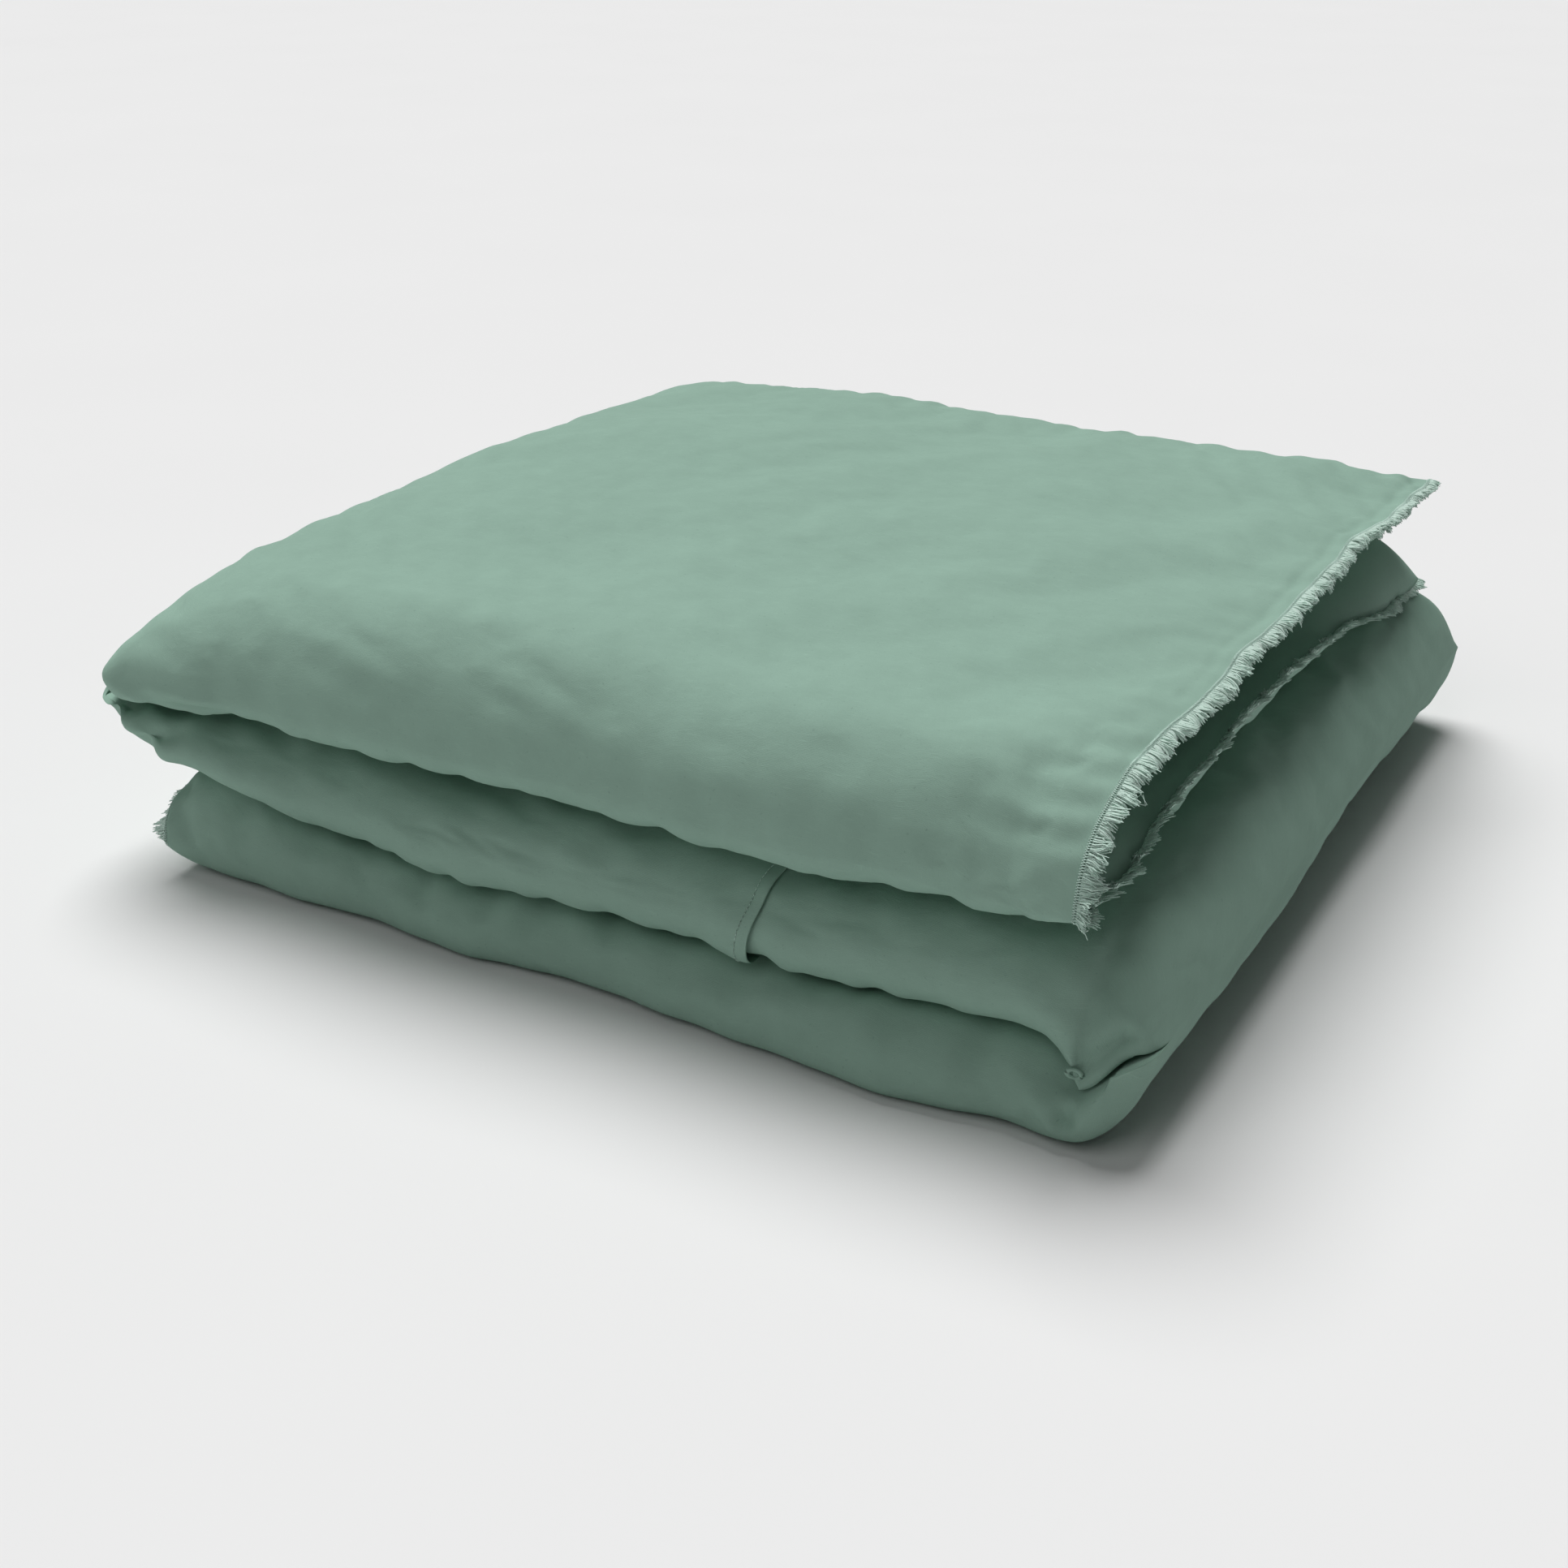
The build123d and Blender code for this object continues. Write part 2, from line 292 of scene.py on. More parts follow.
def fold_height(third, x, y):
    """Height of the half fold's frontmost line. The top third's has a raised tip at the left."""
    if third != "top":
        return level(third, FOLD_SHARE[third], x, y)
    rise = FOLD_SHARE["top"] * crown(x, y) * smooth((x - LEFT_X) / 0.12)
    tip = 0.016 * np.exp(-(((x + 0.334) / 0.026) ** 2)) * smooth((x - LEFT_X) / 0.010)
    return UPPER_Z + skin_gap(x) + rise + tip


FINE = 0.0028  # step of the grid where the cloth rounds over
ROLL_CLEARANCE = 0.006  # from where the inside cloth meets the outside in a roll to its end


def spaced(length, round_start, round_end, step):
    """Shares of a length, close together where the cloth rounds over at either side."""
    places = [0.0]
    turns = max(3, round(round_start * 1.57 / FINE))
    places += [round_start * (1 - math.cos(math.pi / 2 * i / turns)) for i in range(1, turns + 1)]
    flat = max(1, round((length - round_start - round_end) / step))
    gap = (length - round_start - round_end) / flat
    places += [round_start + gap * i for i in range(1, flat + 1)]
    turns = max(3, round(round_end * 1.57 / FINE))
    for i in range(1, turns + 1):
        places.append(length - round_end * (1 - math.cos(math.pi / 2 * (1 - i / turns))))
    return np.array(places) / length


def along_x(third, step):
    """Shares of the way from the left end to the right end, one for each column of a sheet."""
    left = END_ROUND["bottom"][0] if third == "bottom" else LEFT_ROLL[third]
    right = 0.5 * END_ROUND["top"][0] if third == "top" else RIGHT_ROLL
    return spaced(RIGHT_X - LEFT_X, left, right, step)


def ends(third, y, outer):
    """X of a sheet's two ends. The inside cloth stops inside the rolls, short of the hinges."""
    left = end_line(third, y) if third == "bottom" else np.full_like(y, LEFT_X)
    right = end_line(third, y) if third == "top" else np.full_like(y, RIGHT_X)
    if not outer:
        if third != "bottom":
            left = left + HALF * LEFT_ROLL[third] + ROLL_CLEARANCE
        if third != "top":
            right = right - HALF * RIGHT_ROLL - ROLL_CLEARANCE
    return left, right


def leaf_sheet(third, upper, outer, step_x, step_y):
    """One face of one leaf as a grid of points. Rows run from the back to the half fold."""
    across = along_x(third, step_x)
    wide = FRONT_ROUND[third][0 if upper else 1]
    down = spaced(DEPTH, BACK_ROUND[third], wide, step_y)
    back = BACK_Y - BACK_INSET
    y = np.broadcast_to(back - (back - FRONT_Y) * down[:, None], (len(down), len(across)))
    for _ in range(2):
        left, right = ends(third, y, outer)
        x = left + (right - left) * across[None, :]
        front = front_line(third, x, outer)
        y = back - (back - front) * down[:, None]
    return np.stack([x, y, layer(third, upper, outer, x, y)], axis=-1)


def wrapped(third, outer, steps):
    """A third's outer or inner cloth: down the upper leaf, round the fold, back along the lower."""
    step_x, step_up, step_low = steps
    upper = leaf_sheet(third, True, outer, step_x, step_up)
    lower = leaf_sheet(third, False, outer, step_x, step_low)
    return np.concatenate([upper, lower[::-1][1:]], axis=0)


def unit(v):
    """Vectors of length 1 in the directions of v."""
    return v / np.maximum(np.linalg.norm(v, axis=-1, keepdims=True), 1e-9)


def blurred(field, rounds=2):
    """A field on a grid, evened out with its neighbours in the grid."""
    for _ in range(rounds):
        for axis in (0, 1):
            padded = np.concatenate([field.take([0], axis), field, field.take([-1], axis)], axis)
            low = padded.take(range(0, field.shape[axis]), axis)
            high = padded.take(range(2, field.shape[axis] + 2), axis)
            field = 0.5 * field + 0.25 * (low + high)
    return field


def tangents(grid, axis):
    """The direction of a grid's lines along an axis, whatever their spacing."""
    steps = unit(np.diff(grid, axis=axis))
    first, last = steps.take([0], axis), steps.take([-1], axis)
    return unit(np.concatenate([first, steps], axis) + np.concatenate([steps, last], axis))


def normals(grid):
    """The outward directions of a grid's cloth."""
    return unit(blurred(unit(np.cross(tangents(grid, 0), tangents(grid, 1))), 2))


def run_lengths(grid):
    """Distances along the cloth, (across, down), from the grid's first corner."""
    across = np.linalg.norm(np.diff(grid, axis=1), axis=-1)
    down = np.linalg.norm(np.diff(grid, axis=0), axis=-1)
    u = np.concatenate([np.zeros((grid.shape[0], 1)), np.cumsum(across, axis=1)], axis=1)
    v = np.concatenate([np.zeros((1, grid.shape[1])), np.cumsum(down, axis=0)], axis=0)
    middle = grid.shape[0] // 4
    return np.broadcast_to(u[middle], u.shape), v


def off_line(grid, line):
    """Distance of each point from a line through some points, and how far along the line it is."""
    best = np.full(grid.shape[:2], 1e9)
    place = np.zeros(grid.shape[:2])
    line = np.array(line, float)
    spans = np.linalg.norm(np.diff(line, axis=0), axis=1)
    total = spans.sum()
    gone = 0.0
    for a, b, span in zip(line[:-1], line[1:], spans):
        t = np.clip(((grid - a) @ (b - a)) / span**2, 0, 1)
        d = np.linalg.norm(grid - (a + t[..., None] * (b - a)), axis=-1)
        near = d < best
        best = np.where(near, d, best)
        place = np.where(near, (gone + t * span) / total, place)
        gone += span
    return best, place


def pleat(grid, line, depth, width, lip=0.3):
    """Inward push along a line: a narrow valley, with a soft raised lip at each side."""
    d, place = off_line(grid, line)
    fade = smooth(place / 0.15) * smooth((1 - place) / 0.2)
    valley = -np.exp(-((d / width) ** 2))
    ridge = lip * np.exp(-(((d - 2.1 * width) / width) ** 2))
    return depth * (valley + ridge) * fade


# Points along each pleat, its depth and its width
FRONT_PLEATS = {
    "bottom": [
        ([(0.250, -0.338, 0.050), (0.251, -0.340, 0.030), (0.254, -0.338, 0.012)], 0.0030, 0.0060),
        ([(0.288, -0.337, 0.046), (0.291, -0.338, 0.026), (0.294, -0.334, 0.008)], 0.0060, 0.0050),
        ([(0.309, -0.334, 0.036), (0.312, -0.331, 0.024), (0.316, -0.328, 0.012)], 0.0050, 0.0042),
        ([(-0.268, -0.318, 0.060), (-0.278, -0.322, 0.040), (-0.282, -0.320, 0.022)], 0.0022, 0.0070),
    ],
    "middle": [
        ([(0.312, -0.327, 0.046), (0.326, -0.321, 0.056), (0.342, -0.306, 0.070)], 0.0034, 0.0056),
        ([(0.306, -0.326, 0.050), (0.304, -0.330, 0.062), (0.306, -0.326, 0.078)], 0.0026, 0.0050),
        ([(0.268, -0.326, 0.048), (0.262, -0.330, 0.060), (0.258, -0.326, 0.076)], 0.0024, 0.0060),
        ([(-0.270, -0.320, 0.108), (-0.294, -0.322, 0.097), (-0.318, -0.314, 0.080)], 0.0070, 0.0070),
        ([(-0.296, -0.318, 0.109), (-0.325, -0.312, 0.106), (-0.346, -0.296, 0.100)], 0.0036, 0.0044),
    ],
    "top": [
        ([(-0.235, -0.322, 0.116), (-0.290, -0.321, 0.119), (-0.346, -0.298, 0.117)], 0.0046, 0.0050),
        ([(0.236, -0.322, 0.122), (0.250, -0.330, 0.136), (0.262, -0.326, 0.152)], 0.0022, 0.0070),
        ([(0.282, -0.326, 0.126), (0.292, -0.330, 0.138), (0.300, -0.330, 0.150)], 0.0016, 0.0060),
    ],
}
# Pointed corners that stand out: the place, how far and how wide
TIPS = {
    "middle": [((-0.346, -0.304, 0.103), (-0.009, -0.007, -0.003), 0.016)],
    "top": [((-0.345, -0.306, 0.124), (0.013, -0.004, 0.002), 0.022)],
}


def wrinkles(third, grid):
    """How far the washed cloth stands out from the plain filled shape."""
    x, y, z = np.moveaxis(grid, -1, 0)
    u, v = run_lengths(grid)
    seed = 100 * (1 + THIRDS.index(third))
    out = 0.0016 * drift(x, y + z, seed, 0.10, 0.30)
    out += 0.0005 * drift(x + 0.4 * y, y + z, seed + 1, 0.03, 0.07)
    # short gathers that run out from the creases between the thirds, at the front
    frontness = np.exp(-((y - front_line(third, x)) / 0.040) ** 2)
    for height, reach in ((LOWER_Z, 0.016), (UPPER_Z, 0.018)):
        near = np.exp(-((z - height) / reach) ** 2)
        out += 0.0013 * frontness * near * ripple(x, seed + round(1000 * height), 0.018, 0.070, 9)
    # gathers at the seams of the open back
    backness = np.exp(-(BACK_Y - y) / 0.022)
    out += 0.0014 * backness * ripple(x + 0.2 * z, seed + 7, 0.022, 0.080, 9)
    if third != "middle":
        inward = np.abs(end_line(third, y) - x)
        out += 0.0013 * np.exp(-inward / 0.030) * ripple(y + z, seed + 9, 0.020, 0.075, 9)
        out += -0.0010 * np.exp(-((inward - 0.012) / 0.004) ** 2) * smooth((y + 0.25) / 0.2)
    for line, depth, width in FRONT_PLEATS[third]:
        out += pleat(grid, line, depth, width)
    # held still where the sheet ends at a hinge or a seam
    hold = smooth(np.minimum(u, u.max() - u) / 0.012) * smooth(np.minimum(v, v[-1] - v) / 0.010)
    return out * hold


# Steps of the grids: across, down the upper leaf and along the lower leaf
COVER_STEPS = {
    "bottom": (0.0042, 0.014, 0.0075),
    "middle": (0.0042, 0.008, 0.010),
    "top": (0.0042, 0.0044, 0.010),
}
INSIDE_STEP = 0.012
ROLL_CLOTH = 0.020  # more cloth than a third's width, for the rounded ends
FRONT_CLOTH = 0.070  # more cloth than twice the depth, for the rounded front
# A third's cloth before it is folded
FLAT_THIRD = (RIGHT_X - LEFT_X + ROLL_CLOTH, 2 * DEPTH + FRONT_CLOTH)
ON_FLOOR = 0.0004  # the lowest cloth's height above the floor
SETTLE_FRAMES = 12
SETTLE_CAP = 0.003  # the furthest that the cloth may settle
SETTLE_SHARE = 0.6  # of the settling that is kept
grids = {}


def cover_grid(third):
    """The cover's outside for one third, as a grid of points."""
    if third not in grids:
        plain = wrapped(third, True, COVER_STEPS[third])
        u, _ = run_lengths(plain)
        free = smooth(np.minimum(u, u.max() - u) / 0.010)
        for place, pull, width in TIPS.get(third, ()):
            away = np.linalg.norm(plain - np.array(place), axis=-1)
            plain = plain + (np.exp(-away / width) * free)[..., None] * np.array(pull)
        grids[third] = plain + normals(plain) * wrinkles(third, plain)[..., None]
        grids[third] = settled(third, grids[third])
        grids[third][..., 2] = np.maximum(grids[third][..., 2], ON_FLOOR)
    return grids[third]


def settled(third, grid):
    """The cloth a little larger than the shape under it, pressed out from inside and let settle."""
    rows, columns = grid.shape[:2]
    mesh = bpy.data.meshes.new("settling")
    mesh.from_pydata(grid.reshape(-1, 3).tolist(), [], grid_faces(rows, columns).tolist())
    piece = bpy.data.objects.new("settling", mesh)
    bpy.context.scene.collection.objects.link(piece)
    u, v = run_lengths(grid)
    edge = np.minimum(np.minimum(u, u.max() - u), np.minimum(v, v[-1] - v))
    resting = grid[..., 2] < 0.006 if third == "bottom" else np.zeros(u.shape, bool)
    free = smooth((edge - 0.004) / 0.020) * np.where(resting, 0.0, 1.0)
    held = piece.vertex_groups.new(name="held")
    stiff = (1 - free).ravel()
    for share in range(1, 11):
        chosen = np.flatnonzero((stiff * 10).round().astype(int) == share)
        held.add(chosen.tolist(), share / 10, "REPLACE")
    cloth = piece.modifiers.new("cloth", "CLOTH")
    settings = cloth.settings
    settings.quality = 4
    settings.mass = 0.15
    settings.tension_stiffness = 20
    settings.compression_stiffness = 12
    settings.shear_stiffness = 8
    settings.bending_stiffness = 0.4
    settings.shrink_min = -0.008
    settings.pin_stiffness = 0.6
    settings.use_pressure = True
    settings.uniform_pressure_force = 0.3
    settings.effector_weights.gravity = 0
    settings.vertex_group_mass = "held"
    cloth.collision_settings.use_collision = False
    cloth.collision_settings.use_self_collision = False
    cloth.point_cache.frame_end = SETTLE_FRAMES
    for frame_number in range(1, SETTLE_FRAMES + 1):
        bpy.context.scene.frame_set(frame_number)
    graph = bpy.context.evaluated_depsgraph_get()
    places = np.empty(rows * columns * 3)
    piece.evaluated_get(graph).data.vertices.foreach_get("co", places)
    moved = places.reshape(grid.shape) - grid
    bpy.context.scene.frame_set(1)
    bpy.data.objects.remove(piece)
    moved = moved - blurred(moved, 120)
    reach = np.linalg.norm(moved, axis=-1, keepdims=True)
    moved = moved * np.minimum(1, SETTLE_CAP / np.maximum(reach, 1e-9))
    return grid + SETTLE_SHARE * moved * free[..., None]


# ---------------------------------------------------------------- meshes


def mesh_piece(name, points, faces, finish, cloth=None, subdivide=0):
    """A named mesh object from arrays of points and faces, in one finish."""
    mesh = bpy.data.meshes.new(name)
    mesh.from_pydata([tuple(p) for p in points], [], [tuple(f) for f in faces])
    mesh.validate()
    mesh.polygons.foreach_set("use_smooth", [True] * len(mesh.polygons))
    if cloth is not None:
        attribute = mesh.attributes.new("cloth", "FLOAT_VECTOR", "POINT")
        attribute.data.foreach_set("vector", np.asarray(cloth, np.float32).ravel())
    mesh.materials.append(finish)
    piece = bpy.data.objects.new(name, mesh)
    bpy.context.scene.collection.objects.link(piece)
    if subdivide:
        modifier = piece.modifiers.new("finer cloth", "SUBSURF")
        modifier.levels = subdivide
        modifier.render_levels = subdivide
        modifier.boundary_smooth = "PRESERVE_CORNERS"
        apply_modifiers(piece)
    return piece


def apply_modifiers(piece):
    """Replaces a piece's mesh with what its modifiers make of it."""
    graph = bpy.context.evaluated_depsgraph_get()
    result = bpy.data.meshes.new_from_object(piece.evaluated_get(graph), depsgraph=graph)
    old = piece.data
    piece.modifiers.clear()
    piece.data = result
    bpy.data.meshes.remove(old)


def grid_faces(rows, columns, start=0):
    """The four-cornered faces of a grid, its first point being number start."""
    i = np.arange(rows - 1)[:, None] * columns + np.arange(columns - 1)[None, :] + start
    i = i.ravel()
    return np.stack([i, i + columns, i + columns + 1, i + 1], axis=1)


def grid_piece(name, grid, finish, subdivide=0):
    """A sheet of cloth from a grid of points, with its flat place at every point."""
    u, v = run_lengths(grid)
    cloth = np.stack([u, v, np.zeros_like(u)], axis=-1).reshape(-1, 3)
    faces = grid_faces(grid.shape[0], grid.shape[1])
    return mesh_piece(name, grid.reshape(-1, 3), faces, finish, cloth, subdivide)


def tube_mesh(paths, radii, sides=4):
    """Points and faces of many thin tubes. paths is (tubes, points, 3); radii is (tubes, points)."""
    count, steps, _ = paths.shape
    tangent = np.gradient(paths, axis=1)
    tangent /= np.maximum(np.linalg.norm(tangent, axis=-1, keepdims=True), 1e-9)
    helper = np.where(np.abs(tangent[..., 2:3]) < 0.9, [0.0, 0.0, 1.0], [1.0, 0.0, 0.0])
    side = np.cross(tangent, helper)
    side /= np.maximum(np.linalg.norm(side, axis=-1, keepdims=True), 1e-9)
    other = np.cross(tangent, side)
    turn = np.arange(sides) * FULL_TURN / sides
    ring = np.cos(turn)[:, None] * side[..., None, :] + np.sin(turn)[:, None] * other[..., None, :]
    points = paths[:, :, None, :] + ring * radii[..., None, None]
    index = np.arange(count * steps * sides).reshape(count, steps, sides)
    nxt = np.roll(index, -1, axis=2)
    walls = np.stack([index[:, :-1], nxt[:, :-1], nxt[:, 1:], index[:, 1:]], axis=-1).reshape(-1, 4)
    caps = []
    if sides == 4:
        caps = [index[:, 0, ::-1], index[:, -1, :]]
    return points.reshape(-1, 3), np.concatenate([walls] + [c.reshape(-1, 4) for c in caps])


# ---------------------------------------------------------------- materials


class Wire:
    """A node's output. Arithmetic on wires that carry numbers adds Math nodes."""

    def __init__(self, bench, socket):
        self.bench = bench
        self.socket = socket

    def _math(self, operation, first, second=None):
        values = {0: first} if second is None else {0: first, 1: second}
        return self.bench.add("ShaderNodeMath", {"operation": operation}, values)

    def __add__(self, other):
        return self._math("ADD", self, other)

    def __radd__(self, other):
        return self._math("ADD", other, self)

    def __sub__(self, other):
        return self._math("SUBTRACT", self, other)

    def __rsub__(self, other):
        return self._math("SUBTRACT", other, self)

    def __mul__(self, other):
        return self._math("MULTIPLY", self, other)

    def __rmul__(self, other):
        return self._math("MULTIPLY", other, self)

    def sine(self):
        return self._math("SINE", self)

    def absolute(self):
        return self._math("ABSOLUTE", self)

    def clamped(self):
        return self.bench.add("ShaderNodeClamp", {}, {"Value": self})


class Bench:
    """One material's nodes."""

    def __init__(self, name):
        self.material = bpy.data.materials.new(name)
        self.material.use_nodes = True
        self.tree = self.material.node_tree
        self.tree.nodes.clear()

    def add(self, kind, settings, sockets, output=0):
        """Adds a node: its settings first, then the values or wires of its sockets."""
        node = self.tree.nodes.new(kind)
        for key, value in settings.items():
            if key == "stops":
                while len(node.color_ramp.elements) < len(value):
                    node.color_ramp.elements.new(0.5)
                for element, (place, colour) in zip(node.color_ramp.elements, value):
                    element.position = place
                    element.color = colour
            else:
                setattr(node, key, value)
        for key, value in sockets.items():
            if isinstance(value, Wire):
                self.tree.links.new(value.socket, node.inputs[key])
            else:
                node.inputs[key].default_value = value
        return Wire(self, node.outputs[output]) if len(node.outputs) else None

    def mixed(self, share, first, second):
        """A colour between two colours."""
        settings = {"data_type": "RGBA", "clamp_factor": True}
        return self.add("ShaderNodeMix", settings, {0: share, 6: first, 7: second}, 2)

    def stretched(self, vector, factors):
        """A vector multiplied by another."""
        return self.add("ShaderNodeVectorMath", {"operation": "MULTIPLY"}, {0: vector, 1: factors})

    def noise(self, vector, scale, detail=2.0, roughness=0.5):
        """An irregular value from 0 to 1."""
        sockets = {"Vector": vector, "Scale": scale, "Detail": detail, "Roughness": roughness}
        return self.add("ShaderNodeTexNoise", {}, sockets)

    def finish(self, shader):
        """Joins the shader to the material's output."""
        self.add("ShaderNodeOutputMaterial", {}, {"Surface": shader})
        return self.material


def scaled(colour, factor):
    """A colour made lighter or darker."""
    return tuple(min(1.0, c * factor) for c in colour[:3]) + (1.0,)


BUMP_HEIGHT = 0.0006


def spun(bench, vector, colour, threads, strength, lighter, darker, roughness, sheen, creases=0.0):
    """Woven cloth: threads both ways, thick and thin stretches of yarn, and faded patches."""
    parts = bench.add("ShaderNodeSeparateXYZ", {}, {"Vector": vector}, 0)
    node = parts.socket.node
    u = Wire(bench, node.outputs[0])
    v = Wire(bench, node.outputs[1])
    warp_noise = bench.noise(bench.stretched(vector, (500.0, 22.0, 1.0)), 1.0, 2.0)
    weft_noise = bench.noise(bench.stretched(vector, (22.0, 500.0, 1.0)), 1.0, 2.0)
    warp = (u * threads + warp_noise * 0.8).sine() * 0.5 + 0.5
    weft = (v * threads + weft_noise * 0.8).sine() * 0.5 + 0.5
    weave = warp * weft
    slub_long = bench.noise(bench.stretched(vector, (110.0, 800.0, 1.0)), 1.0, 1.0)
    slub_wide = bench.noise(bench.stretched(vector, (800.0, 150.0, 1.0)), 1.0, 1.0)
    slubs = ((slub_long - 0.60).clamped() + (slub_wide - 0.66).clamped()) * 5.0
    grain = bench.noise(bench.stretched(vector, (1100.0, 1500.0, 1.0)), 1.0, 2.0, 0.6)
    mottle = bench.noise(vector, 9.0, 4.0, 0.6)
    wash = bench.noise(vector, 55.0, 5.0, 0.65)
    fleck = (bench.noise(vector, 420.0, 1.0) - 0.68).clamped() * 3.0
    tone = (mottle * 0.5 + wash * 0.5 - 0.5) * 2.0 + 0.5
    base = bench.mixed(tone.clamped(), scaled(colour, darker), scaled(colour, lighter))
    raised = slubs * 0.30 + weave * 0.10 + grain * 0.28
    base = bench.mixed(raised.clamped(), base, scaled(colour, lighter * 1.12))
    base = bench.mixed((fleck * 0.60).clamped(), base, scaled(colour, 0.40))
    rough = (roughness + (1 - weave) * 0.06 - slubs * 0.05).clamped()
    height = weave * 0.16 + slubs * 0.14 + wash * 0.45 + grain * 0.45
    if creases:
        bent = bench.noise(bench.stretched(vector, (1.0, 1.6, 1.0)), 26.0, 3.0, 0.55)
        fold = 1.0 - ((bent - 0.5) * 6.0).absolute()
        height = height + fold.clamped() * creases
    bump = {"Strength": strength, "Distance": BUMP_HEIGHT, "Height": height}
    sockets = {
        "Base Color": base,
        "Roughness": rough,
        "Normal": bench.add("ShaderNodeBump", {}, bump),
        "Sheen Weight": sheen,
        "Sheen Roughness": 0.55,
        "Sheen Tint": scaled(colour, 2.2),
        "Specular IOR Level": 0.15,
    }
    return bench.add("ShaderNodeBsdfPrincipled", {}, sockets)


def cloth_vector(bench):
    """The place on the flat cloth."""
    return bench.add("ShaderNodeAttribute", {"attribute_name": "cloth"}, {}, 1)


def object_vector(bench):
    """The place in the piece."""
    return bench.add("ShaderNodeTexCoord", {}, {}, 3)


# Each finish: where its pattern is measured, its colour, its threads per metre (as an angle), its
# relief, its lightest and darkest tone, its roughness, its sheen and, for the outside, its creases
FINISHES = {
    "washed linen": (cloth_vector, "linen", 9660.0, 0.45, 1.10, 0.90, 0.88, 0.10, 0.5),
    "linen inside": (cloth_vector, "linen", 9660.0, 0.40, 1.06, 0.92, 0.88, 0.10),
    "frayed linen": (object_vector, "fringe", 3000.0, 0.3, 1.15, 0.82, 0.86, 0.4),
    "sewing thread": (object_vector, "thread", 9000.0, 0.3, 1.15, 0.85, 0.6, 0.2),
    "insert cotton": (cloth_vector, "insert", 9000.0, 0.35, 1.02, 0.97, 0.8, 0.15),
    "loose filling": (object_vector, "filling", 900.0, 0.5, 1.03, 0.92, 0.95, 0.5),
    "corded cotton": (object_vector, "insert", 2400.0, 0.6, 1.0, 0.88, 0.85, 0.2),
}
materials = {}


def material(name):
    """The finish of one kind of piece, made once."""
    if name not in materials:
        measured, colour, *values = FINISHES[name]
        bench = Bench(name)
        colour = getattr(bpy.context.scene.duvet_colours, colour)
        materials[name] = bench.finish(spun(bench, measured(bench), colour, *values))
    return materials[name]


# ---------------------------------------------------------------- settings


class DuvetSizes(bpy.types.PropertyGroup):
    """Sizes that a user would change."""

    fringe: FloatProperty(
        name="Fringe length", description="From the seam to the longest threads", default=0.0116,
        subtype="DISTANCE", unit="LENGTH",
    )
    stitch: FloatProperty(
        name="Stitch pitch", description="From one stitch to the next", default=0.0027,
        subtype="DISTANCE", unit="LENGTH",
    )
    hem: FloatProperty(
        name="Hem width", description="Of the doubled edge at the opening",
        default=float(HEM_HIGH[0] - HEM_LOW[0]), subtype="DISTANCE", unit="LENGTH",
    )
    flap_rise: FloatProperty(
        name="Flap rise", description="How far the flap lies above the panel under it",
        default=0.0020, subtype="DISTANCE", unit="LENGTH",
    )


class DuvetColours(bpy.types.PropertyGroup):
    """Colours that a user would change."""

    linen: FloatVectorProperty(
        name="Linen", description="Colour of the cover", default=(0.268, 0.408, 0.335),
        subtype="COLOR", min=0, max=1,
    )
    fringe: FloatVectorProperty(
        name="Fringe", description="Colour of the frayed edge", default=(0.58, 0.76, 0.67),
        subtype="COLOR", min=0, max=1,
    )
    thread: FloatVectorProperty(
        name="Thread", description="Colour of the stitches", default=(0.50, 0.67, 0.59),
        subtype="COLOR", min=0, max=1,
    )
    insert: FloatVectorProperty(
        name="Insert", description="Colour of the insert's cotton", default=(0.80, 0.80, 0.77),
        subtype="COLOR", min=0, max=1,
    )
    filling: FloatVectorProperty(
        name="Filling", description="Colour of the loose fibre", default=(0.86, 0.86, 0.84),
        subtype="COLOR", min=0, max=1,
    )


class StageSettings(bpy.types.PropertyGroup):
    """Camera and light."""

    azimuth: FloatProperty(
        name="Azimuth", description="Camera's turn round the duvet from its front",
        default=math.radians(29.3), subtype="ANGLE", unit="ROTATION",
    )
    elevation: FloatProperty(
        name="Elevation", description="Camera's height angle", default=math.radians(25.3),
        subtype="ANGLE", unit="ROTATION",
    )
    distance: FloatProperty(
        name="Distance", description="From the camera to what it looks at", default=1.27,
        subtype="DISTANCE", unit="LENGTH",
    )
    aim: FloatVectorProperty(
        name="Aim", description="What the camera looks at", default=(0.055, -0.156, 0.074),
        subtype="TRANSLATION", unit="LENGTH",
    )
    lens: FloatProperty(name="Lens", description="Focal length in millimetres", default=48.0)
    key_power: FloatProperty(
        name="Key light", description="Strength of the large light above", default=3.05
    )
    key_spread: FloatProperty(
        name="Light spread", description="How wide the lights are",
        default=math.radians(42.0), subtype="ANGLE", unit="ROTATION",
    )
    fill_power: FloatProperty(
        name="Fill light", description="Strength of the light from the front", default=0.45
    )
    ambient: FloatProperty(
        name="Ambient", description="Strength of the light all round", default=0.06
    )


# ---------------------------------------------------------------- pieces


class DUVET_OT_cover(bpy.types.Operator):
    """Makes the linen cover's outside for the bottom and top thirds, and its inside for all three
    thirds
    """

    bl_idname = "duvet.cover"
    bl_label = "Cover"

    def execute(self, context):
        for third in ("bottom", "top"):
            linen = material("washed linen")
            outer = grid_piece(f"{third}_cover_outside", cover_grid(third), linen)
            declare_cloth(outer, third, f"{third}_cover_outer", flat=FLAT_THIRD)
        for third in THIRDS:
            inner = wrapped(third, False, (INSIDE_STEP, INSIDE_STEP, INSIDE_STEP))
            piece = grid_piece(f"{third}_cover_inside", inner, material("linen inside"), 1)
            declare_cloth(piece, third, f"{third}_cover_inner", flat=FLAT_THIRD)
        return {"FINISHED"}


